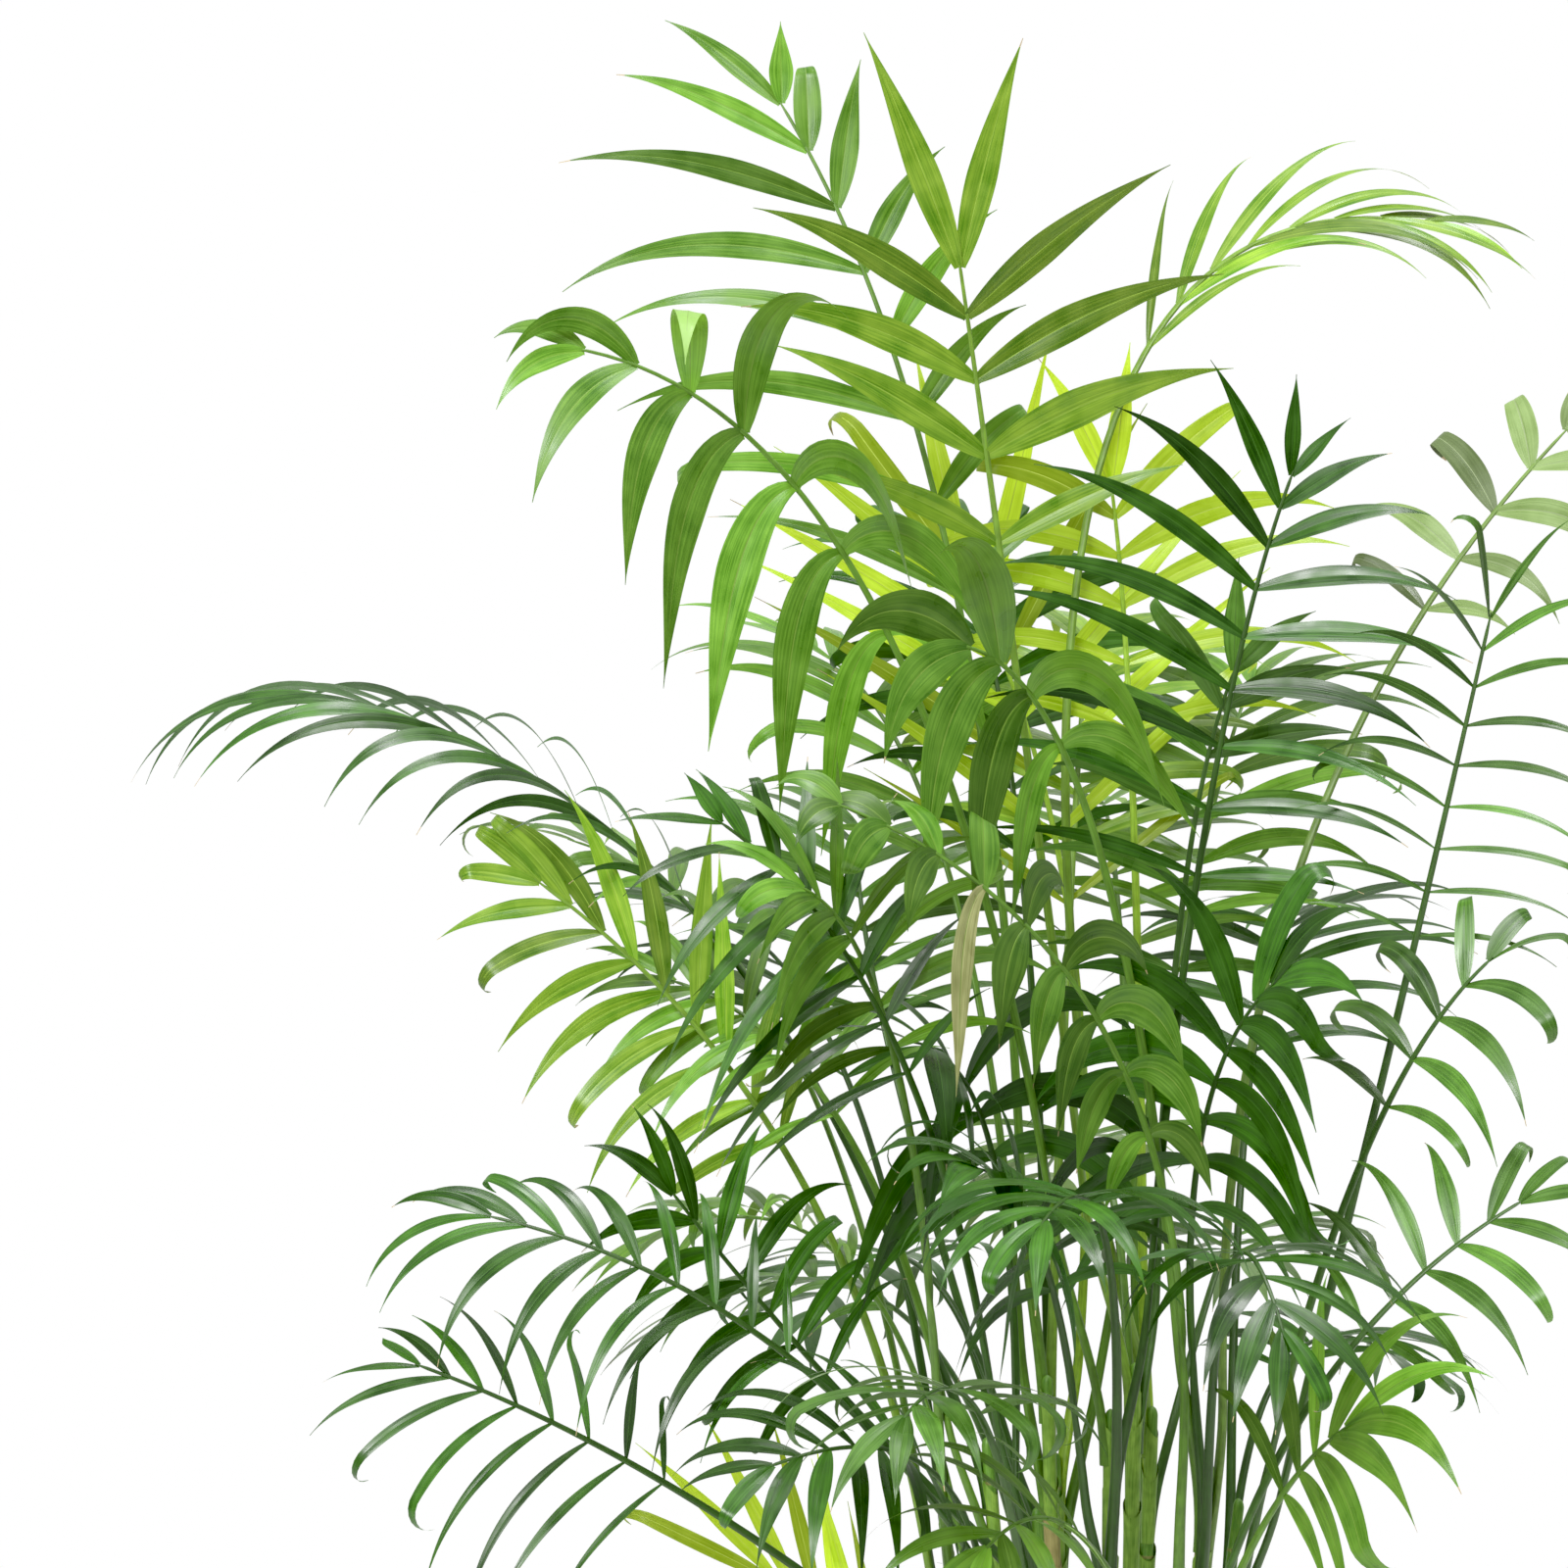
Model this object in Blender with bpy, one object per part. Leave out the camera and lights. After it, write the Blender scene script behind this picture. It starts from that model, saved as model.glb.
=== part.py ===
# A potted parlor palm: a plain round pot full of soil, a clump of slender ringed canes,
# and feather-shaped fronds, each with its leaflets to both sides of a thin rib.
# Metres, +Z up. The origin is the middle of the pot's flat underside.

import math
import random

import bmesh
import bpy
from mathutils import Quaternion, Vector
from mathutils.bvhtree import BVHTree
from mathutils.geometry import intersect_ray_tri

# Pot, turned about the Z axis
potHeight = 0.220
potRimRadius = 0.120
potShoulderRadius = 0.1125
potFootRadius = 0.088
potFootEdge = 0.003
potWall = 0.004
potFloor = 0.006
rimBandHeight = 0.030
rimBandDraft = 0.0025
rimEdge = 0.0015
turnSides = 48
sharpAngle = math.radians(35.0)
potColour = (0.055, 0.057, 0.060)
potRoughness = 0.55

# Soil, level, below the rim, clear of the pot's inside
soilTop = 0.195
clearance = 0.0003
soilColour = (0.030, 0.018, 0.011)
soilRoughness = 0.95

# Canes, set in the soil on a sunflower spiral and leaning outwards
caneCount = 11
caneSpread = 0.080
caneTurn = math.radians(137.5)
caneSides = 8
caneFootRadius = 0.0070
caneLowRadius = 0.0046
caneTopRadius = 0.0035
caneFlareHeight = 0.018
caneTipHeight = 0.006
tallestCane = 0.460
caneHeightStep = 0.011
caneLean = 0.35
caneColour = (0.110, 0.190, 0.045)
caneRoughness = 0.50

# Petiole and rib of a frond: a three-sided bar that thins towards its tip
ribFootRadius = 0.0034
ribBladeRadius = 0.0022
ribTipRadius = 0.0010
ribRidge = 0.5
shoulderOut = 0.014
shoulderUp = 0.020
petioleStations = 4

# Leaflets: a thin blade with a ridge, two cross-sections and a point. Angles are in degrees
# from the rib, for the lowest pair and for the pair at the tip. The least spread keeps the
# widest part of a blade, as a share of its width, off the rib's own line. A dried leaflet hangs
# straight down, and is longer and narrower than its neighbours.
leafSteps = 25
innerStep = 9
outerStep = 19
outerWidthShare = 0.66
leafThickness = 0.013
pointThickness = 0.6
spacingPower = 1.08
leafRootShare = 0.42
shortestRoot = 0.0045
terminalAngle = 20.0
baseAngle = 80.0
leastSpread = 0.6
driedHang = 6.0
driedLength = 1.9
driedWidth = 0.75
leafRoughness = 0.45

# A leaflet's length and width along the blade: where it is longest, what the lowest one lacks,
# the width of the lowest one with what is added up to the tip, and how much a short one is slimmer
longestAt = 0.35
lowestLack = 0.20
lowestWidth = 0.58
addedWidth = 0.40
slimming = 0.35

# The bend of a leaflet grows along it, that of a draped one is strongest at its root, and a
# curled one folds over in its last part
bendAtRoot = 0.4
bendGrowth = 1.2
drapeAtRoot = 2.2
curlFrom = 0.72
curlFold = 2.4
plainFold = 0.15

# Chance: the first seed, and how far length, width, bend and angles vary
firstSeed = 100
lengthChance = (0.90, 1.06)
widthChance = (0.92, 1.08)
angleChance = 5.0
liftChance = (-6.0, 8.0)
rollChance = 14.0
bendChance = (0.75, 1.25)

# Room that a rib or leaflet keeps to everything that is already placed, and how its foot, lean,
# lift and swing are tried until it has that room
ribRoom = 0.0008
leafRoom = 0.0006
leanStep = 0.006
leanTurns = 14
leanAtTip = 0.4
footDrop = 0.018
footTries = 10
footAboveSoil = 0.020
footBelowTop = 0.008
swingRings = 12
swingTurns = 6
ringLift = 5.0
ringSwing = 3.0
ringTwist = 0.5

# The front view that the fronds are read from: an eye this far in front of the pot's axis
eye = Vector((-0.192, -3.0, 0.82))

# Which way the upper face of a frond's blade looks
toViewer = Vector((0.0, -1.0, 0.30))
toSky = Vector((0.0, -0.20, 1.0))
skyAndViewer = Vector((-0.15, -0.70, 0.75))

# Colours of the fronds, linear
tones = {
    "dark": (0.035, 0.105, 0.022),
    "blue": (0.040, 0.125, 0.045),
    "mid": (0.085, 0.215, 0.030),
    "fresh": (0.120, 0.330, 0.025),
    "bright": (0.290, 0.500, 0.030),
    "pale": (0.240, 0.380, 0.130),
}

# What a frond has unless its own line says otherwise. The leaflets: how many pairs, their length
# and width, how far they bend down and how far back a curled one folds, both in radians; how far
# they are swept towards the tip, the share of the length that the last ones keep and that those
# on the right keep, degrees that those on the left gain and those on the right lose in spread,
# degrees that each blade turns from the frond's face towards the sky, the share of them that is
# curled, degrees that they rise out of the frond's face, the power at which they close up towards
# the tip, the share of the width that they lose up to there, the share of the bend that moves to
# the roots of the lowest ones, so that they fold over and hang straight, and the one that has
# dried and hangs, counted from the foot. Bare is the petiole's share of the rib.
usualFrond = {
    "face": skyAndViewer, "pairs": 8, "length": 0.140, "width": 0.017, "droop": 1.0, "sweep": 0.85,
    "crown": 0.60, "right": 1.0, "skew": 0.0, "edge": 0.0, "curled": 0.18, "lift": 14.0,
    "closing": 3.5, "slender": 0.0, "drape": 0.0, "dried": -1, "bare": 0.48, "tone": "mid",
}

# Fronds that show in the front view: cane, height of the foot, a point half way along the rib and
# its tip, each as x and z in the front view and depth behind the pot's axis.
shownFronds = {
    "front_curl": dict(
        cane=10, foot=0.312, middle=(0.020, 0.635, -0.150), tip=(-0.165, 0.810, -0.230),
        pairs=9, length=0.078, width=0.031, droop=2.8, crown=0.60, right=0.95, slender=0.3,
        curled=0.12, drape=0.8, dried=10, bare=0.38),
    "centre_drape": dict(
        cane=5, foot=0.372, middle=(0.005, 0.765, -0.105), tip=(-0.085, 0.905, -0.150),
        face=toViewer, pairs=4, length=0.150, width=0.040, droop=3.2, crown=0.7, edge=10.0,
        slender=0.2, curled=0.0, drape=1.0, lift=26.0, closing=2.2, bare=0.60),
    "front_left_blue": dict(
        cane=7, foot=0.354, middle=(-0.115, 0.640, -0.120), tip=(-0.233, 0.798, -0.150),
        length=0.175, width=0.013, droop=0.8, crown=0.42, right=0.50, skew=15.0, edge=35.0,
        bare=0.44, tone="dark"),
    "dark_comb": dict(
        cane=2, foot=0.396, middle=(0.063, 0.775, -0.075), tip=(0.120, 1.012, -0.090),
        face=toViewer, pairs=9, length=0.172, width=0.016, droop=0.75, sweep=0.90, crown=0.36,
        right=0.8, edge=24.0, bare=0.42, tone="dark"),
    "arching_left": dict(
        cane=2, foot=0.426, middle=(-0.125, 0.905, -0.070), tip=(-0.322, 1.087, -0.110),
        face=toViewer, pairs=7, length=0.172, width=0.037, droop=3.6, sweep=0.90, crown=0.40,
        right=0.9, edge=10.0, slender=0.5, curled=0.1, drape=0.9, lift=30.0, closing=2.6,
        bare=0.44),
    "tall_centre": dict(
        cane=0, foot=0.450, middle=(-0.050, 0.890, 0.010), tip=(-0.085, 1.142, 0.000),
        face=toViewer, pairs=5, length=0.160, width=0.032, droop=0.45, sweep=0.72, crown=0.92,
        right=1.02, skew=-7.0, slender=0.4, curled=0.0, closing=6.0, bare=0.54, tone="fresh"),
    "tall_left": dict(
        cane=1, foot=0.443, middle=(-0.085, 0.930, 0.060), tip=(-0.196, 1.240, 0.090),
        face=toViewer, pairs=8, length=0.210, width=0.020, droop=0.85, sweep=0.66, crown=0.46,
        right=0.52, skew=4.0, edge=10.0, bare=0.44),
    "far_left": dict(
        cane=4, foot=0.390, middle=(-0.235, 0.728, 0.030), tip=(-0.460, 0.870, 0.040),
        face=toSky, pairs=10, length=0.150, width=0.012, droop=1.45, sweep=0.52, crown=1.15,
        edge=-30.0, curled=0.0, closing=2.6, bare=0.50, tone="dark"),
    "bright_left": dict(
        cane=9, foot=0.246, middle=(-0.172, 0.560, 0.005), tip=(-0.345, 0.762, -0.015),
        face=toViewer, pairs=9, length=0.120, width=0.016, droop=1.1, sweep=0.66, crown=0.50,
        right=1.05, skew=12.0, edge=15.0, bare=0.54, tone="fresh"),
    "low_left_dark": dict(
        cane=7, foot=0.300, middle=(-0.190, 0.470, -0.110), tip=(-0.375, 0.556, -0.120),
        pairs=9, length=0.120, width=0.011, droop=1.8, sweep=0.70, crown=0.8, right=0.7, edge=20.0,
        bare=0.44, tone="dark"),
    "low_left_comb": dict(
        cane=4, foot=0.234, middle=(-0.245, 0.380, -0.060), tip=(-0.418, 0.465, -0.080),
        face=toViewer, length=0.138, width=0.009, droop=1.4, sweep=0.75, crown=0.4, right=0.6,
        edge=35.0, closing=2.6, bare=0.50, tone="dark"),
    "top_right_arch": dict(
        cane=3, foot=0.417, middle=(0.000, 1.010, 0.080), tip=(0.205, 1.164, 0.110),
        pairs=8, length=0.145, width=0.014, droop=1.2, sweep=0.28, crown=0.50, curled=0.0,
        bare=0.58, tone="fresh"),
    "right_pale": dict(
        cane=5, foot=0.348, middle=(0.116, 0.745, -0.035), tip=(0.290, 1.040, 0.010),
        pairs=5, length=0.092, width=0.019, droop=1.2, crown=0.5, curled=0.3, bare=0.74,
        tone="pale"),
    "right_comb": dict(
        cane=8, foot=0.288, middle=(0.172, 0.630, -0.030), tip=(0.241, 0.925, -0.120),
        face=toViewer, pairs=9, length=0.105, width=0.008, droop=0.9, crown=0.8, edge=60.0,
        bare=0.62, tone="blue"),
    "right_low": dict(
        cane=8, foot=0.264, middle=(0.150, 0.560, -0.050), tip=(0.242, 0.714, -0.090),
        pairs=5, length=0.085, width=0.015, droop=1.7, right=1.35, edge=30.0, curled=0.4,
        bare=0.58, tone="blue"),
    "right_lower": dict(
        cane=10, foot=0.288, middle=(0.140, 0.455, -0.110), tip=(0.262, 0.566, -0.120),
        pairs=6, length=0.090, width=0.013, droop=1.3, right=1.2, curled=0.3, bare=0.54,
        tone="blue"),
    "right_foot": dict(
        cane=10, foot=0.237, middle=(0.098, 0.360, -0.140), tip=(0.155, 0.428, -0.190),
        pairs=5, length=0.125, width=0.020, droop=1.7, crown=0.9, closing=1.8, bare=0.58),
    "back_bright": dict(
        cane=6, foot=0.372, middle=(-0.015, 0.720, 0.120), tip=(-0.084, 0.952, 0.140),
        face=toViewer, pairs=7, length=0.205, width=0.016, droop=0.15, sweep=0.66, crown=0.8,
        skew=-6.0, bare=0.48, tone="bright"),
    "back_bright_right": dict(
        cane=3, foot=0.390, middle=(0.022, 0.800, 0.085), tip=(0.008, 1.005, 0.090),
        face=toViewer, pairs=6, length=0.150, width=0.018, droop=0.9, bare=0.52, tone="bright"),
    "grey_right": dict(
        cane=0, foot=0.426, middle=(0.050, 0.730, 0.020), tip=(0.085, 0.892, 0.010),
        face=toViewer, pairs=6, length=0.110, width=0.017, droop=0.8, bare=0.34, tone="blue"),
    "left_tuft": dict(
        cane=7, foot=0.330, middle=(-0.160, 0.450, -0.060), tip=(-0.262, 0.572, -0.070),
        pairs=7, length=0.105, width=0.014, droop=1.5, bare=0.46, tone="dark"),
    "low_left_bright": dict(
        cane=9, foot=0.225, middle=(-0.120, 0.275, 0.030), tip=(-0.200, 0.335, 0.040),
        face=toViewer, pairs=6, length=0.125, width=0.011, droop=0.1, sweep=0.55, crown=1.0,
        bare=0.56, tone="bright"),
    "front_low": dict(
        cane=2, foot=0.348, middle=(0.005, 0.540, -0.160), tip=(-0.035, 0.550, -0.280),
        face=toSky, pairs=8, length=0.125, width=0.018, droop=1.6, tone="dark"),
    "front_low_right": dict(
        cane=5, foot=0.318, middle=(0.080, 0.520, -0.150), tip=(0.115, 0.480, -0.250),
        face=toSky, pairs=7, length=0.110, width=0.017, droop=1.6, tone="dark"),
    "front_low_left": dict(
        cane=7, foot=0.270, middle=(-0.070, 0.430, -0.170), tip=(-0.120, 0.430, -0.270),
        face=toSky, pairs=8, length=0.120, width=0.016, droop=1.6, tone="blue"),
    "mid_left_thin": dict(
        cane=4, foot=0.354, middle=(-0.150, 0.600, 0.000), tip=(-0.262, 0.700, 0.020),
        pairs=8, length=0.110, width=0.013, droop=1.3, bare=0.50),
    "low_front_fan": dict(
        cane=4, foot=0.270, middle=(-0.105, 0.395, -0.120), tip=(-0.205, 0.400, -0.190),
        pairs=8, length=0.105, width=0.014, droop=1.5, bare=0.40, tone="dark"),
    "low_centre": dict(
        cane=5, foot=0.240, middle=(-0.010, 0.360, -0.150), tip=(-0.070, 0.350, -0.230),
        pairs=7, length=0.105, width=0.015, droop=1.6, bare=0.44, tone="mid"),
    "mid_dark_left": dict(
        cane=7, foot=0.318, middle=(-0.045, 0.570, -0.080), tip=(-0.110, 0.660, -0.120),
        pairs=7, length=0.150, width=0.026, droop=2.4, drape=0.6, bare=0.38, tone="dark"),
    "mid_dark_right": dict(
        cane=5, foot=0.330, middle=(0.060, 0.580, -0.080), tip=(0.110, 0.700, -0.130),
        pairs=8, length=0.140, width=0.024, droop=2.2, drape=0.5, bare=0.38, tone="dark"),
    "centre_left": dict(
        cane=9, foot=0.318, middle=(-0.090, 0.640, -0.090), tip=(-0.170, 0.760, -0.160),
        pairs=7, length=0.120, width=0.018, droop=1.8, bare=0.50),
    "mid_front": dict(
        cane=2, foot=0.330, middle=(-0.030, 0.520, -0.110), tip=(-0.075, 0.585, -0.200),
        pairs=8, length=0.115, width=0.020, droop=2.2, curled=0.25, bare=0.40, tone="dark"),
}

# Fans: how far down each cane its next frond stands, how much the tips vary in reach and height,
# how far a rib's middle stays back and its face leans out, and what makes a cane the right one
fanFirstFoot = 0.020
fanFootStep = 0.022
fanLeastFoot = 0.030
fanReachWave = 0.08
fanReachTurn = 2.3
fanHeightWave = 0.045
fanHeightTurn = 1.9
fanHeightPhase = 10.0
fanMiddleBack = 0.25
fanFaceOut = 0.45
crowdCost = 0.6
sideGain = 12.0
heightCost = 2.0
frondAboveCane = 0.40

# Fronds that the front view hides, in fans round the back and sides: how many, the first and last
# direction in degrees from +X, the tip's reach and height, and how far the middle of the rib
# rises over a straight line.
hiddenFans = {
    "back_high": dict(
        count=4, first=66.0, last=130.0, reach=0.260, height=0.930, rise=0.110,
        length=0.150, width=0.018, tones=("mid", "fresh", "dark")),
    "back_mid": dict(
        count=5, first=62.0, last=158.0, reach=0.350, height=0.780, rise=0.120,
        length=0.140, width=0.016, tones=("dark", "mid", "blue")),
    "back_low": dict(
        count=6, first=44.0, last=176.0, reach=0.290, height=0.500, rise=0.110,
        length=0.120, width=0.015, tones=("dark", "blue", "mid")),
}


def clearScene():
    for old in list(bpy.data.objects):
        bpy.data.objects.remove(old, do_unlink=True)


def finish(name, colour, roughness):
    material = bpy.data.materials.new(name + "_finish")
    material.use_nodes = True
    shader = material.node_tree.nodes["Principled BSDF"]
    shader.inputs["Base Color"].default_value = (*colour, 1.0)
    shader.inputs["Roughness"].default_value = roughness
    shader.inputs["Metallic"].default_value = 0.0
    return material


def makeObject(name, points, faces, colour, roughness, smooth=False):
    mesh = bpy.data.meshes.new(name)
    mesh.from_pydata([tuple(point) for point in points], [], faces)
    work = bmesh.new()
    work.from_mesh(mesh)
    bmesh.ops.recalc_face_normals(work, faces=work.faces)
    if work.calc_volume(signed=True) < 0.0:
        bmesh.ops.reverse_faces(work, faces=work.faces)
    work.to_mesh(mesh)
    work.free()
    if smooth:
        mesh.shade_smooth()
        mesh.set_sharp_from_angle(angle=sharpAngle)
    mesh.materials.append(finish(name, colour, roughness))
    made = bpy.data.objects.new(name, mesh)
    bpy.context.collection.objects.link(made)
    return made


def turned(profile):
    # rings of points about Z from (radius, height) pairs that start and end on the axis
    points = [Vector((0.0, 0.0, profile[0][1]))]
    for radius, height in profile[1:-1]:
        for k in range(turnSides):
            angle = 2.0 * math.pi * k / turnSides
            points.append(Vector((radius * math.cos(angle), radius * math.sin(angle), height)))
    points.append(Vector((0.0, 0.0, profile[-1][1])))
    last = len(points) - 1
    rings = len(profile) - 2
    faces = []
    for k in range(turnSides):
        following = (k + 1) % turnSides
        faces.append((0, 1 + k, 1 + following))
        for ring in range(rings - 1):
            low = 1 + ring * turnSides
            high = low + turnSides
            faces.append((low + k, high + k, high + following, low + following))
        top = 1 + (rings - 1) * turnSides
        faces.append((last, top + following, top + k))
    return points, faces


def outerRadius(height):
    # the pot's wall below its rim band
    bandFoot = potHeight - rimBandHeight
    return potFootRadius + (potShoulderRadius - potFootRadius) * height / bandFoot


def makePot():
    bandFoot = potHeight - rimBandHeight
    bandRadius = potRimRadius - rimBandDraft
    innerTop = outerRadius(potHeight) - potWall
    profile = (
        (0.0, 0.0),
        (potFootRadius - potFootEdge, 0.0),
        (potFootRadius, potFootEdge),
        (potShoulderRadius, bandFoot - rimEdge),
        (bandRadius, bandFoot),
        (potRimRadius, potHeight - rimEdge),
        (potRimRadius - rimEdge, potHeight),
        (innerTop, potHeight),
        (outerRadius(potFloor) - potWall, potFloor),
        (0.0, potFloor),
    )
    points, faces = turned(profile)
    makeObject("pot", points, faces, potColour, potRoughness, smooth=True)
    return points, faces


def makeSoil():
    foot = potFloor + clearance
    profile = (
        (0.0, foot),
        (outerRadius(foot) - potWall - clearance, foot),
        (outerRadius(soilTop) - potWall - clearance, soilTop),
        (0.0, soilTop),
    )
    points, faces = turned(profile)
    makeObject("soil", points, faces, soilColour, soilRoughness)
    return points, faces


def makeCaneShape(index):
    # a straight leaning cane: its foot, its top, and its height
    reach = caneSpread * math.sqrt((index + 0.5) / caneCount)
    turn = caneTurn * index
    foot = Vector((reach * math.cos(turn), reach * math.sin(turn), soilTop + clearance))
    spread = 1.0 + caneLean
    top = Vector((foot.x * spread, foot.y * spread, tallestCane - caneHeightStep * index))
    return {"foot": foot, "top": top, "turn": turn}


def caneCentre(cane, height):
    share = (height - cane["foot"].z) / (cane["top"].z - cane["foot"].z)
    return cane["foot"].lerp(cane["top"], share)


def caneRadius(cane, height):
    above = height - cane["foot"].z
    if above < caneFlareHeight:
        return caneFootRadius + (caneLowRadius - caneFootRadius) * above / caneFlareHeight
    share = (above - caneFlareHeight) / (cane["top"].z - cane["foot"].z - caneFlareHeight)
    return caneLowRadius + (caneTopRadius - caneLowRadius) * share


def caneMesh(cane):
    # level rings of eight points, and a short blunt tip
    foot = cane["foot"].z
    top = cane["top"].z
    heights = (foot, foot + caneFlareHeight, top)
    points = []
    for height in heights:
        centre = caneCentre(cane, height)
        radius = caneRadius(cane, height)
        for k in range(caneSides):
            angle = cane["turn"] + 2.0 * math.pi * (k + 0.5) / caneSides
            points.append(centre + Vector((radius * math.cos(angle), radius * math.sin(angle), 0.0)))
    points.append(cane["top"] + Vector((0.0, 0.0, caneTipHeight)))
    faces = [tuple(reversed(range(caneSides)))]
    for ring in range(len(heights) - 1):
        for k in range(caneSides):
            low = ring * caneSides
            following = (k + 1) % caneSides
            faces.append((low + k, low + following, low + caneSides + following, low + caneSides + k))
    topRing = (len(heights) - 1) * caneSides
    for k in range(caneSides):
        faces.append((topRing + k, topRing + (k + 1) % caneSides, len(points) - 1))
    return points, faces


def inSpace(x, z, depth):
    # a place in the front view, moved back along the line of sight to its depth
    scale = (depth - eye.y) / -eye.y
    return Vector((eye.x + (x - eye.x) * scale, depth, eye.z + (z - eye.z) * scale))


def curveAt(start, bend, tip, share):
    rest = 1.0 - share
    return start * rest * rest + bend * 2.0 * share * rest + tip * share * share


def slopeAt(start, bend, tip, share):
    return ((bend - start) * (1.0 - share) + (tip - bend) * share).normalized()


def planFronds():
    # every frond as a dictionary, those that show first
    plans = []
    used = [0] * caneCount
    for name, shown in shownFronds.items():
        plan = {**usualFrond, **shown, "name": "frond_" + name}
        plan["middle"] = inSpace(*shown["middle"])
        plan["tip"] = inSpace(*shown["tip"])
        used[plan["cane"]] += 1
        plans.append(plan)
    for name, fan in hiddenFans.items():
        for k in range(fan["count"]):
            turn = math.radians(fan["first"] + (fan["last"] - fan["first"]) * k / (fan["count"] - 1))
            outward = Vector((math.cos(turn), math.sin(turn), 0.0))
            cane = freeCane(outward, fan["height"], used)
            used[cane] += 1
            shape = makeCaneShape(cane)
            height = shape["top"].z - fanFirstFoot - fanFootStep * used[cane]
            height = max(height, soilTop + fanLeastFoot)
            tip = outward * fan["reach"] * (1.0 + fanReachWave * math.sin(fanReachTurn * k))
            phase = fan["reach"] * fanHeightPhase
            tip.z = fan["height"] + fanHeightWave * math.cos(fanHeightTurn * k + phase)
            rise = fan["rise"]
            middle = caneCentre(shape, height).lerp(tip, 0.5) + Vector((0.0, 0.0, rise))
            plans.append({
                **usualFrond, "name": "frond_%s_%d" % (name, k + 1), "cane": cane, "foot": height,
                "middle": middle - outward * rise * fanMiddleBack, "tip": tip,
                "face": Vector((0.0, 0.0, 1.0)) - outward * fanFaceOut, "length": fan["length"],
                "width": fan["width"], "tone": fan["tones"][k % len(fan["tones"])],
            })
    return plans


def freeCane(outward, tipHeight, used):
    # the least used cane on the side that the frond grows to, tall canes for high fronds
    def cost(index):
        shape = makeCaneShape(index)
        side = shape["top"].copy()
        side.z = 0.0
        level = abs(shape["top"].z + frondAboveCane - tipHeight)
        return used[index] * crowdCost - side.dot(outward) * sideGain + level * heightCost
    return min(range(caneCount), key=cost)


def shapeRib(plan, attempt):
    # stations along petiole and rib: centre, slope, side, upper way, radius
    cane = makeCaneShape(plan["cane"])
    slide = attempt // leanTurns
    height = plan["foot"] + footDrop * ((slide + 1) // 2) * (1.0 if slide % 2 else -1.0)
    height = min(max(height, soilTop + footAboveSoil), cane["top"].z - footBelowTop)
    lean = attempt % leanTurns
    centre = caneCentre(cane, height)
    towards = plan["middle"] - centre
    step = 2.0 * math.pi / caneSides
    facet = cane["turn"] + step * round((math.atan2(towards.y, towards.x) - cane["turn"]) / step)
    outward = Vector((math.cos(facet), math.sin(facet), 0.0))
    flat = caneRadius(cane, height) * math.cos(math.pi / caneSides)
    foot = centre + outward * (flat + clearance)
    start = foot + outward * shoulderOut + Vector((0.0, 0.0, shoulderUp))
    chord = (plan["tip"] - start).normalized()
    across = chord.cross(Vector((0.0, 0.0, 1.0)))
    across.normalize()
    above = across.cross(chord)
    aside = (across * math.cos(lean * caneTurn) + above * math.sin(lean * caneTurn)) * leanStep * lean
    middle = plan["middle"] + aside
    tip = plan["tip"] + aside * leanAtTip
    bend = middle * 2.0 - (start + tip) * 0.5
    blade = (tip - curveAt(start, bend, tip, plan["bare"])).length
    shares = [plan["bare"] * k / petioleStations for k in range(petioleStations)]
    for k in range(plan["pairs"]):
        along = 1.0 - (1.0 - (k + 1) / plan["pairs"]) ** spacingPower
        last = plan["bare"] + (1.0 - plan["bare"]) * along
        root = max(plan["width"] * leafRootShare, shortestRoot) * (1.0 - plan["bare"]) / blade
        shares += [last - root, last]
    stations = []
    for share in shares:
        slope = slopeAt(start, bend, tip, share)
        upper = plan["face"] - slope * plan["face"].dot(slope)
        upper.normalize()
        if share < plan["bare"]:
            radius = ribFootRadius + (ribBladeRadius - ribFootRadius) * share / plan["bare"]
        else:
            part = (share - plan["bare"]) / (1.0 - plan["bare"])
            radius = ribBladeRadius + (ribTipRadius - ribBladeRadius) * part
        stations.append({
            "centre": curveAt(start, bend, tip, share), "slope": slope, "upper": upper,
            "side": slope.cross(upper), "radius": radius,
        })
    return {"foot": foot, "outward": outward, "axis": (cane["top"] - cane["foot"]).normalized(),
            "stations": stations}


def corners(station, room=0.0):
    # left, right and lower corner of the rib at a station
    radius = station["radius"] + room
    centre = station["centre"]
    raised = centre + station["upper"] * radius * ribRidge
    return (raised - station["side"] * radius, raised + station["side"] * radius,
            centre - station["upper"] * radius)


def footCorners(rib):
    # the first station's corners carried down the shoulder onto the plane of the cane's facet
    first = rib["stations"][0]
    slope = (first["centre"] - rib["foot"]).normalized()
    along = rib["outward"].cross(Vector((0.0, 0.0, 1.0)))
    plane = rib["axis"].cross(along)
    plane *= 1.0 if plane.dot(rib["outward"]) > 0.0 else -1.0
    plane.normalize()
    found = []
    for corner in corners(first):
        found.append(corner - slope * ((corner - rib["foot"]).dot(plane) / slope.dot(plane)))
    return found


def barPolygons(rings):
    points = [point for ring in rings for point in ring]
    faces = []
    for k in range(len(rings) - 1):
        a = 3 * k
        for low, high in ((0, 1), (1, 2), (2, 0)):
            faces.append((a + low, a + high, a + 3 + high))
            faces.append((a + low, a + 3 + high, a + 3 + low))
    last = 3 * (len(rings) - 1)
    faces.append((0, 2, 1))
    faces.append((last, last + 1, last + 2))
    return points, faces


def makeTree(points, faces):
    return BVHTree.FromPolygons([tuple(point) for point in points], faces)


def joinShapes(shapes):
    points = []
    faces = []
    for morePoints, moreFaces in shapes:
        offset = len(points)
        points.extend(morePoints)
        faces.extend(tuple(index + offset for index in face) for face in moreFaces)
    return points, faces


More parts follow.
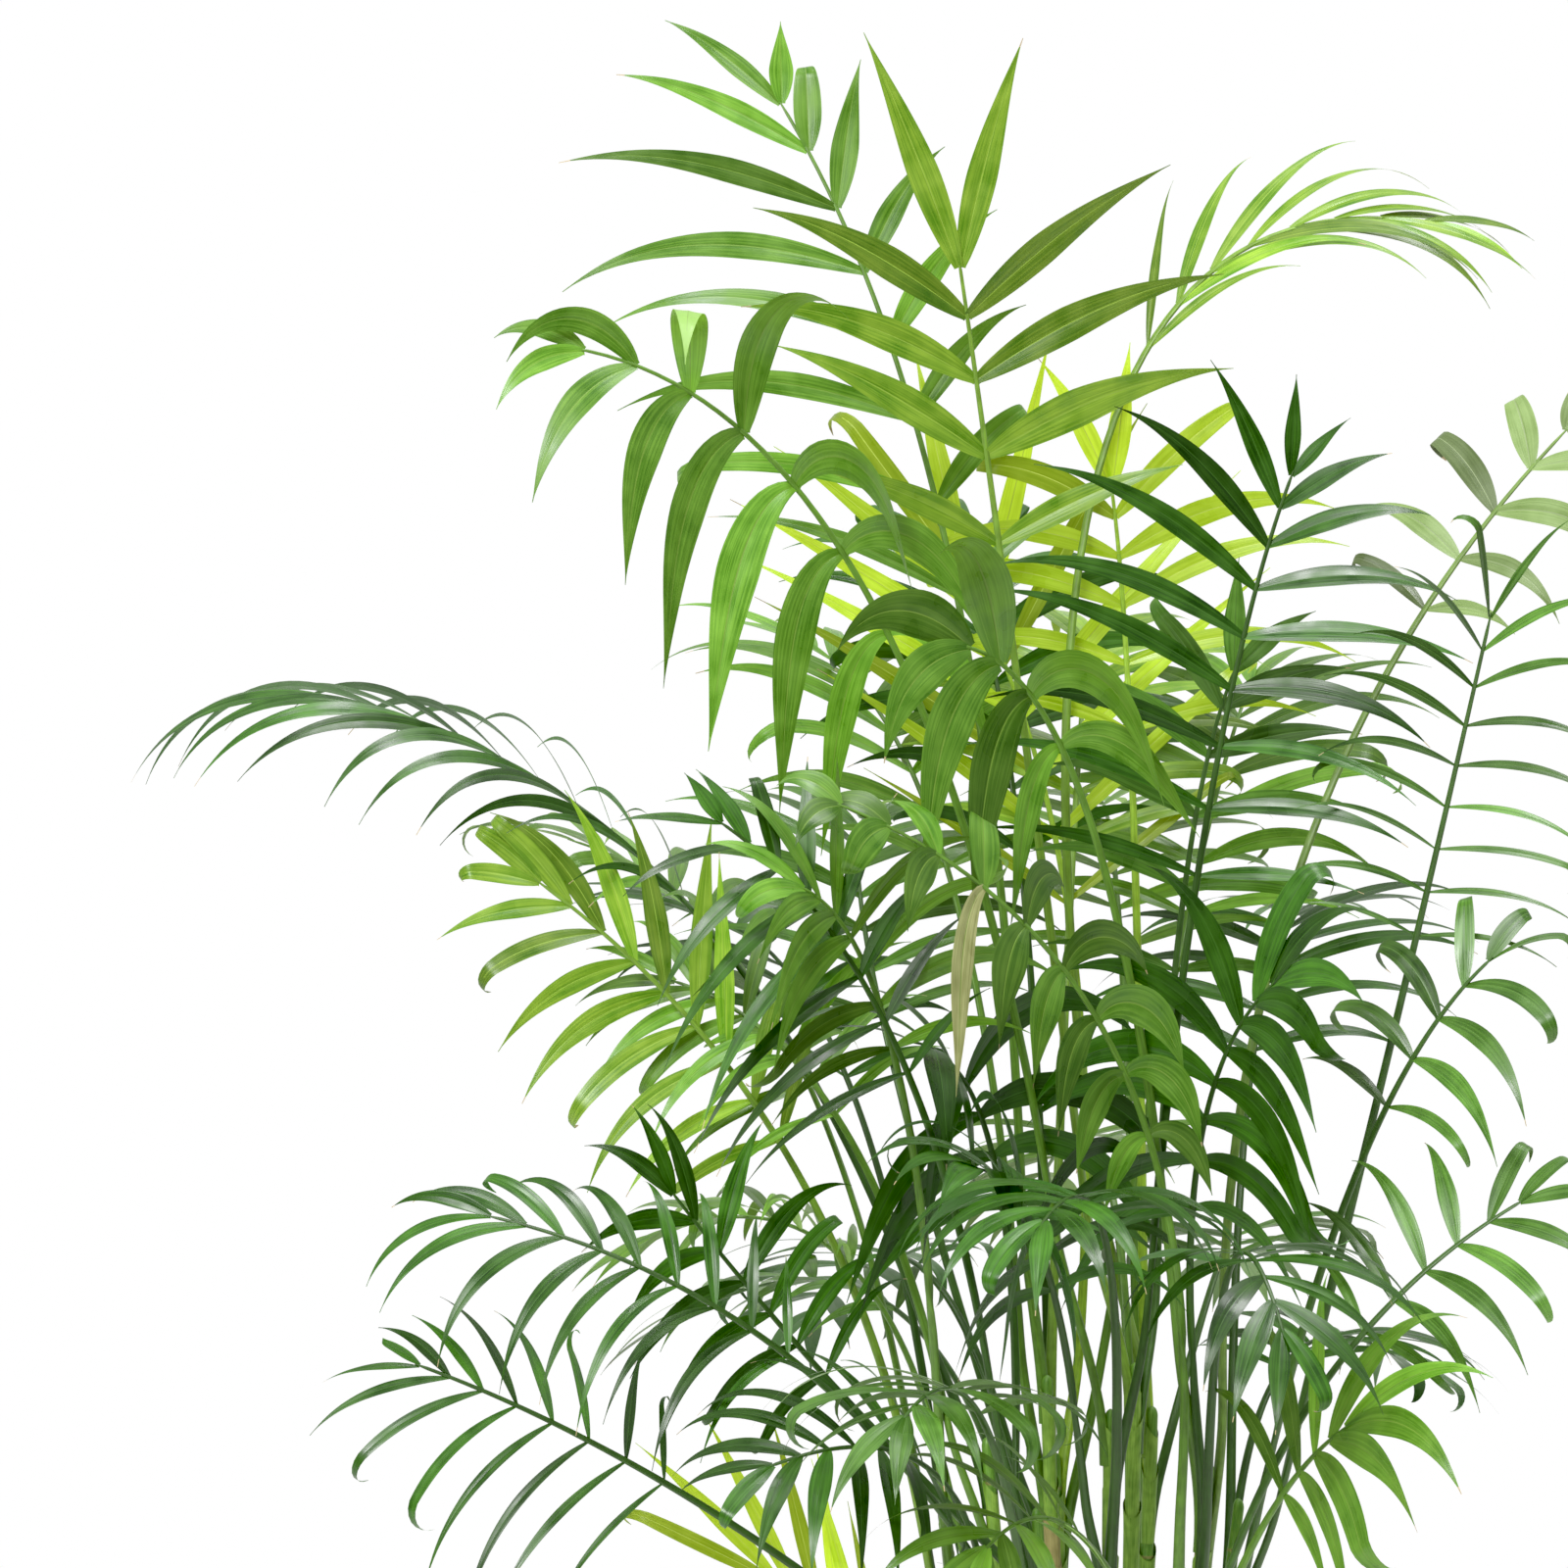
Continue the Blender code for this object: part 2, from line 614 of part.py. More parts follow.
def placeRibs(plans, fixed):
    # each rib leans aside, and its foot slides along its cane, until it touches nothing
    placed = list(fixed)
    for plan in plans:
        others = makeTree(*joinShapes(placed))
        for attempt in range(leanTurns * footTries):
            rib = shapeRib(plan, attempt)
            loose = [corners(station, ribRoom) for station in rib["stations"]]
            tight = [footCorners(rib), corners(rib["stations"][0])]
            if makeTree(*barPolygons(loose)).overlap(others):
                continue
            if makeTree(*barPolygons(tight)).overlap(others):
                continue
            break
        else:
            raise RuntimeError(plan["name"] + " finds no free way")
        plan["rib"] = rib
        rings = [footCorners(rib)] + [corners(station) for station in rib["stations"]]
        plan["bar"] = barPolygons(rings)
        placed.append(plan["bar"])


def leafSize(plan, share):
    # leaflets are longest a third of the way up the blade, and get wider towards its tip
    if share < longestAt:
        length = 1.0 - lowestLack * (1.0 - share / longestAt) ** 2
    else:
        beyond = (share - longestAt) / (1.0 - longestAt)
        length = 1.0 - (1.0 - plan["crown"]) * beyond ** 2
    width = (lowestWidth + addedWidth * math.sqrt(share)) * (1.0 - plan["slender"] * share)
    return plan["length"] * length, plan["width"] * width * length ** slimming


def leafPath(leaf, start, heading, upper):
    # a leaflet's middle line: it bends down under its own weight, and a curled one folds over
    points = [start]
    ways = [heading]
    uppers = [upper]
    step = leaf["length"] / leafSteps
    for k in range(leafSteps):
        share = (k + 0.5) / leafSteps
        spread = bendAtRoot + bendGrowth * share
        folded = drapeAtRoot * (1.0 - share) ** (drapeAtRoot - 1.0)
        bend = leaf["droop"] * (spread + (folded - spread) * leaf["drape"]) / leafSteps
        turned = (heading + Vector((0.0, 0.0, -bend))).normalized()
        if share > curlFrom:
            across = turned.cross(upper).normalized()
            turned = Quaternion(across, -leaf["curl"] / ((1.0 - curlFrom) * leafSteps)) @ turned
        swing = heading.rotation_difference(turned)
        upper = swing @ upper
        heading = turned
        points.append(points[-1] + heading * step)
        ways.append(heading)
        uppers.append(upper)
    return points, ways, uppers


def drawLeaf(plan, station, following, order, luck):
    # everything about one leaflet that chance decides, drawn in a fixed order
    share = (order // 2) / (plan["pairs"] - 1)
    length, width = leafSize(plan, share)
    angle = baseAngle + (terminalAngle - baseAngle) * share ** plan["closing"]
    leaf = {
        "sign": 1.0 if order % 2 else -1.0,
        "length": length * luck.uniform(*lengthChance) * (plan["right"] if order % 2 else 1.0),
        "width": width * luck.uniform(*widthChance),
        "angle": angle * plan["sweep"] + luck.uniform(-angleChance, angleChance),
        "lift": plan["lift"] + luck.uniform(*liftChance),
        "roll": plan["edge"] + luck.uniform(-rollChance, rollChance),
        "droop": plan["droop"] * length / plan["length"] * luck.uniform(*bendChance),
        "curl": curlFold if luck.random() < plan["curled"] else plainFold,
        "drape": plan["drape"] * (1.0 - share),
    }
    if order == plan["dried"]:
        leaf["droop"] = driedHang
        leaf["length"] *= driedLength
        leaf["width"] *= driedWidth
    leaf["angle"] -= plan["skew"] * leaf["sign"]
    widestAt = leaf["length"] * innerStep / leafSteps
    leaf["angle"] = max(leaf["angle"], math.degrees(math.atan(leaf["width"] * leastSpread / widestAt)))
    leaf["slope"] = (station["slope"] + following["slope"]).normalized()
    leaf["upper"] = (station["upper"] + following["upper"]).normalized()
    leaf["side"] = leaf["slope"].cross(leaf["upper"]) * leaf["sign"]
    leaf["start"] = station["centre"].lerp(following["centre"], 0.5)
    leaf["radius"] = (station["radius"] + following["radius"]) * 0.5
    return leaf


def layLeaf(leaf, lift, swing):
    # the leaflet's middle line at a tried lift and swing, in degrees
    angle = math.radians(leaf["angle"] + swing)
    raised = math.radians(leaf["lift"] + lift)
    flat = leaf["side"] * math.cos(raised) + leaf["upper"] * math.sin(raised)
    heading = (leaf["slope"] * math.cos(angle) + flat * math.sin(angle)).normalized()
    upper = leaf["upper"] - heading * leaf["upper"].dot(heading)
    upper.normalize()
    upper = Quaternion(heading, math.radians(-leaf["roll"] * leaf["sign"])) @ upper
    start = leaf["start"] + leaf["side"] * leaf["radius"]
    return leafPath(leaf, start, heading, upper)


def leafPoints(leaf, path, room=0.0):
    # two ridged cross-sections, each of back, front and ridge, and the point
    points, ways, uppers = path
    thick = leaf["length"] * leafThickness
    found = []
    lastAcross = leaf["slope"]
    for index, widthShare in ((innerStep, 1.0), (outerStep, outerWidthShare)):
        across = ways[index].cross(uppers[index]).normalized()
        if across.dot(lastAcross) < 0.0:
            across = -across
        lastAcross = across
        half = leaf["width"] * 0.5 * widthShare + room
        low = points[index] - uppers[index] * room
        height = thick * (pointThickness + (1.0 - pointThickness) * widthShare)
        found += [low - across * half, low + across * half]
        found.append(points[index] + uppers[index] * (height + room))
    return found + [points[-1] + ways[-1] * room]


def leafFaces(root, first):
    # root: upper back, upper front, lower back, lower front; then back, front, ridge twice, point
    upperBack, upperFront, lowerBack, lowerFront = root
    back, front, ridge = first, first + 1, first + 2
    back2, front2, ridge2, point = first + 3, first + 4, first + 5, first + 6
    return [
        (lowerBack, lowerFront, front), (lowerBack, front, back),
        (lowerBack, back, ridge), (lowerBack, ridge, upperBack),
        (upperBack, ridge, upperFront),
        (upperFront, ridge, front), (upperFront, front, lowerFront),
        (back, front, front2), (back, front2, back2),
        (back, back2, ridge2), (back, ridge2, ridge),
        (ridge, ridge2, front2), (ridge, front2, front),
        (back2, front2, point), (back2, point, ridge2), (ridge2, point, front2),
    ]


def bendTries():
    # lifts and swings to try, the smallest first
    tries = [(0.0, 0.0)]
    for ring in range(1, swingRings + 1):
        for turn in range(swingTurns):
            angle = 2.0 * math.pi / swingTurns * turn + ringTwist * ring
            tries.append((ringLift * ring * math.sin(angle), ringSwing * ring * math.cos(angle)))
    return tries


def pierces(start, end, triangle):
    # whether an edge passes through a triangle
    hit = intersect_ray_tri(*triangle, end - start, start, True)
    return hit is not None and (hit - start).length < (end - start).length


def cutsBeyond(points, face, otherFace):
    # whether two faces cut each other in more than the corners that they share
    shared = set(face) & set(otherFace)
    if len(shared) != 1:
        return not shared
    for first, second in ((face, otherFace), (otherFace, face)):
        start, end = [points[corner] for corner in first if corner not in shared]
        if pierces(start, end, [points[corner] for corner in second]):
            return True
    return False


def crosses(points, newFaces, kept, keptTree):
    # whether a leaflet cuts itself or the frond that it grows on
    tree = makeTree(points, newFaces)
    if any(cutsBeyond(points, newFaces[i], kept[j]) for i, j in tree.overlap(keptTree)):
        return True
    return any(i < j and cutsBeyond(points, newFaces[i], newFaces[j]) for i, j in tree.overlap(tree))


def growFrond(plan, index, others):
    # the frond's mesh: the rib's faces, with each leaflet in place of one face of the rib
    luck = random.Random(firstSeed + index)
    rib = plan["rib"]
    stations = rib["stations"]
    rings = [footCorners(rib)] + [corners(station) for station in stations]
    points, faces = barPolygons(rings)
    whole = []
    skipped = 0
    for order in range(plan["pairs"] * 2):
        low = petioleStations + order // 2 * 2
        leaf = drawLeaf(plan, stations[low], stations[low + 1], order, luck)
        sideCorner = 1 if leaf["sign"] > 0.0 else 0
        a = 3 * (low + 1)
        root = (a + sideCorner, a + 3 + sideCorner, a + 2, a + 5)
        first = len(points)
        newFaces = leafFaces(root, first)
        rootFaces = rootFacesOf(a, sideCorner)
        kept = [face for face in faces if face not in rootFaces]
        ownTree = makeTree(points, kept)
        for lift, swing in bendTries():
            path = layLeaf(leaf, lift, swing)
            real = points + leafPoints(leaf, path)
            loose = points + leafPoints(leaf, path, leafRoom)
            if crosses(real, newFaces, kept, ownTree) or crosses(loose, newFaces, kept, ownTree):
                continue
            if not makeTree(loose, newFaces).overlap(others):
                break
        else:
            skipped += 1
            continue
        points = real
        faces = kept + newFaces
        rooted = [points[corner] for corner in root] + points[first:]
        whole.append((rooted, leafFaces((0, 1, 2, 3), 4)))
    return points, faces, whole, skipped


def rootFacesOf(a, sideCorner):
    # the two triangles of the bar between a side corner's edge and the lower corner's edge
    if sideCorner == 1:
        return {(a + 1, a + 2, a + 5), (a + 1, a + 5, a + 4)}
    return {(a + 2, a, a + 3), (a + 2, a + 3, a + 5)}


def buildPalm():
    clearScene()
    fixed = [makePot(), makeSoil()]
    for index in range(caneCount):
        points, faces = caneMesh(makeCaneShape(index))
        makeObject("cane_%02d" % (index + 1), points, faces, caneColour, caneRoughness, smooth=True)
        fixed.append((points, faces))
    plans = planFronds()
    placeRibs(plans, fixed)
    grown = []
    skipped = 0
    for index, plan in enumerate(plans):
        bars = [other["bar"] for other in plans if other is not plan]
        others = makeTree(*joinShapes(fixed + bars + grown))
        points, faces, whole, missing = growFrond(plan, index, others)
        grown += whole
        skipped += missing
        makeObject(plan["name"], points, faces, tones[plan["tone"]], leafRoughness)
    print("fronds", len(plans), "leaflets", len(grown), "skipped", skipped)


buildPalm()
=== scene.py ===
import math
import random

import bmesh
import bpy
import numpy as np
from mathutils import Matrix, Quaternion, Vector, noise
from mathutils.bvhtree import BVHTree
from mathutils.geometry import intersect_ray_tri


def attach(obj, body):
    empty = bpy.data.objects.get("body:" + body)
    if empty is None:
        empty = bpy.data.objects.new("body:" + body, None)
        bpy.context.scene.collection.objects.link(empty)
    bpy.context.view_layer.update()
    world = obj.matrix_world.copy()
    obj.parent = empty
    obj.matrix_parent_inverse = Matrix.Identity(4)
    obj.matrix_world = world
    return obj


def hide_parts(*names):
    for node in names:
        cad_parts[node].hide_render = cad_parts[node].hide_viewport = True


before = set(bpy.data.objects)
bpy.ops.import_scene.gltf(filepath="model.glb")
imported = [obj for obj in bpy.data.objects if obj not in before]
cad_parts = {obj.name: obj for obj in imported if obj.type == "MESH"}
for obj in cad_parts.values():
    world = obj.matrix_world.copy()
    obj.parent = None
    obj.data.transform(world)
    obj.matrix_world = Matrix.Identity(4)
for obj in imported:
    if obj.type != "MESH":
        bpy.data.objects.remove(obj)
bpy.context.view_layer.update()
print("frame loaded,", len(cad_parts), "nodes")


def linear(hexCode):
    # sRGB hex to the linear values that a shader takes
    found = []
    for k in (1, 3, 5):
        value = int(hexCode[k:k + 2], 16) / 255.0
        found.append(value / 12.92 if value <= 0.04045 else ((value + 0.055) / 1.055) ** 2.4)
    return (*found, 1.0)


def add(tree, kind, inputs=None, stops=None, **settings):
    # a node with its settings, its values and links, and the stops of a colour ramp
    node = tree.nodes.new(kind)
    for name, value in settings.items():
        setattr(node, name, value)
    for socket, value in (inputs or {}).items():
        if isinstance(value, bpy.types.NodeSocket):
            tree.links.new(value, node.inputs[socket])
        else:
            node.inputs[socket].default_value = value
    if stops:
        elements = node.color_ramp.elements
        for element, (position, colour) in zip(elements, stops):
            element.position = position
            element.color = linear(colour)
        for position, colour in stops[len(elements):]:
            elements.new(position).color = linear(colour)
    return node


def newFinish(name):
    material = bpy.data.materials.new(name)
    material.use_nodes = True
    material.node_tree.nodes.clear()
    return material, material.node_tree


def makePiece(name, grids, finishes):
    # one mesh out of many grids of points: a row and column apiece, slots by face, maps by corner
    points = []
    faces = []
    slots = []
    maps = {"blade": [], "OFBake": []}
    offset = 0
    for grid in grids:
        rows, columns = grid["points"].shape[:2]
        cells = columns if grid.get("closed") else columns - 1
        r = np.arange(rows - 1)[:, None]
        c = np.arange(cells)[None, :]
        following = (c + 1) % columns
        quads = np.stack([r * columns + c, r * columns + following,
                          (r + 1) * columns + following, (r + 1) * columns + c], axis=-1)
        faces.append(quads.reshape(-1, 4) + offset)
        points.append(grid["points"].reshape(-1, 3))
        slots.append(np.broadcast_to(grid["slots"], (rows - 1, cells)).reshape(-1))
        for key, found in maps.items():
            uv = grid[key]
            found.append(np.stack([uv[r, c], uv[r, c + 1], uv[r + 1, c + 1], uv[r + 1, c]],
                                  axis=-2).reshape(-1, 2))
        offset += rows * columns
    mesh = bpy.data.meshes.new(name)
    mesh.from_pydata(np.concatenate(points).tolist(), [], np.concatenate(faces).tolist())
    mesh.polygons.foreach_set("material_index", np.concatenate(slots).astype(np.int32))
    for key, found in maps.items():
        layer = mesh.uv_layers.new(name=key)
        layer.data.foreach_set("uv", np.concatenate(found).astype(np.float32).reshape(-1))
    for finish in finishes:
        mesh.materials.append(finish)
    mesh.shade_smooth()
    mesh.validate()
    piece = bpy.data.objects.new(name, mesh)
    bpy.context.collection.objects.link(piece)
    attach(piece, "root")
    return piece


def layMaps(grids):
    # the maps of a set of grids: real metres for patterns, and a cell of the bake map for each
    shape = sum(grid["length"] / grid["width"] for grid in grids) / len(grids)
    columns = math.ceil(math.sqrt(len(grids) * shape))
    rows = math.ceil(len(grids) / columns)
    margin = 0.06
    for k, grid in enumerate(grids):
        across = grid["across"]
        along = grid["along"]
        grid["blade"] = np.stack(np.broadcast_arrays(
            across[None, :] * grid["width"] + grid["shift"], along[:, None] * grid["length"]), -1)
        u = (k % columns + margin + (1.0 - 2.0 * margin) * across) / columns
        v = (k // columns + margin + (1.0 - 2.0 * margin) * along) / rows
        grid["OFBake"] = np.stack(np.broadcast_arrays(u[None, :], v[:, None]), -1)
    return grids


# The sizes and the growth rule of the source, written again so that every fine leaf grows
# from the same rib, at the same angle and to the same length as its solid
pot = {
    "height": 0.220, "rimRadius": 0.120, "shoulderRadius": 0.1125, "footRadius": 0.088,
    "footEdge": 0.003, "wall": 0.004, "bandHeight": 0.030, "bandDraft": 0.0025, "rimEdge": 0.0015,
}
soilTop = 0.195
clearance = 0.0003
cane = {
    "count": 11, "spread": 0.080, "turn": math.radians(137.5), "sides": 8,
    "footRadius": 0.0070, "lowRadius": 0.0046, "topRadius": 0.0035, "flareHeight": 0.018,
    "tipHeight": 0.006, "tallest": 0.460, "step": 0.011, "lean": 0.35,
}
rib = {
    "footRadius": 0.0034, "bladeRadius": 0.0022, "tipRadius": 0.0010, "ridge": 0.5,
    "shoulderOut": 0.014, "shoulderUp": 0.020, "petioleStations": 4,
}
leaflet = {
    "steps": 25, "inner": 9, "outer": 19, "outerWidth": 0.66, "thickness": 0.013,
    "pointThickness": 0.6, "spacing": 1.08, "rootShare": 0.42, "shortestRoot": 0.0045,
    "terminalAngle": 20.0, "baseAngle": 80.0, "leastSpread": 0.6, "driedHang": 6.0,
    "driedLength": 1.9, "driedWidth": 0.75, "slimming": 0.35,
    "longestAt": 0.35, "lowestLack": 0.20, "lowestWidth": 0.58, "addedWidth": 0.40,
    "bendAtRoot": 0.4, "bendGrowth": 1.2, "drapeAtRoot": 2.2, "curlFrom": 0.72, "curlFold": 2.4, "plainFold": 0.15,
}
chance = {
    "seed": 100, "length": (0.90, 1.06), "width": (0.92, 1.08), "angle": 5.0,
    "lift": (-6.0, 8.0), "roll": 14.0, "bend": (0.75, 1.25),
}
room = {
    "rib": 0.0008, "leaf": 0.0006, "leanStep": 0.006, "leanTurns": 14, "leanAtTip": 0.4,
    "footDrop": 0.018, "footTries": 10, "aboveSoil": 0.020, "belowTop": 0.008,
    "rings": 12, "turns": 6, "ringLift": 5.0, "ringSwing": 3.0, "ringTwist": 0.5,
}
fan = {
    "firstFoot": 0.020, "footStep": 0.022, "leastFoot": 0.030, "reachWave": 0.08,
    "reachTurn": 2.3, "heightWave": 0.045, "heightTurn": 1.9, "heightPhase": 10.0,
    "middleBack": 0.25, "faceOut": 0.45, "crowdCost": 0.6, "sideGain": 12.0, "heightCost": 2.0,
    "frondAboveCane": 0.40,
}
eye = Vector((-0.192, -3.0, 0.82))
toViewer = Vector((0.0, -1.0, 0.30))
toSky = Vector((0.0, -0.20, 1.0))
skyAndViewer = Vector((-0.15, -0.70, 0.75))

# What a frond has unless its own line says otherwise. The leaflets: how many pairs, their length
# and width, how far they bend down and how far back a curled one folds, both in radians; how far
# they are swept towards the tip, the share of the length that the last ones keep and that those
# on the right keep, degrees that those on the left gain and those on the right lose in spread,
# degrees that each blade turns from the frond's face towards the sky, the share of them that is
# curled, degrees that they rise out of the frond's face, the power at which they close up towards
# the tip, the share of the width that they lose up to there, the share of the bend that moves to
# the roots of the lowest ones, so that they fold over and hang straight, and the one that has
# dried and hangs, counted from the foot. Bare is the petiole's share of the rib.
usualFrond = {
    "face": skyAndViewer, "pairs": 8, "length": 0.140, "width": 0.017, "droop": 1.0, "sweep": 0.85,
    "crown": 0.60, "right": 1.0, "skew": 0.0, "edge": 0.0, "curled": 0.18, "lift": 14.0,
    "closing": 3.5, "slender": 0.0, "drape": 0.0, "dried": -1, "bare": 0.48, "tone": "mid",
}

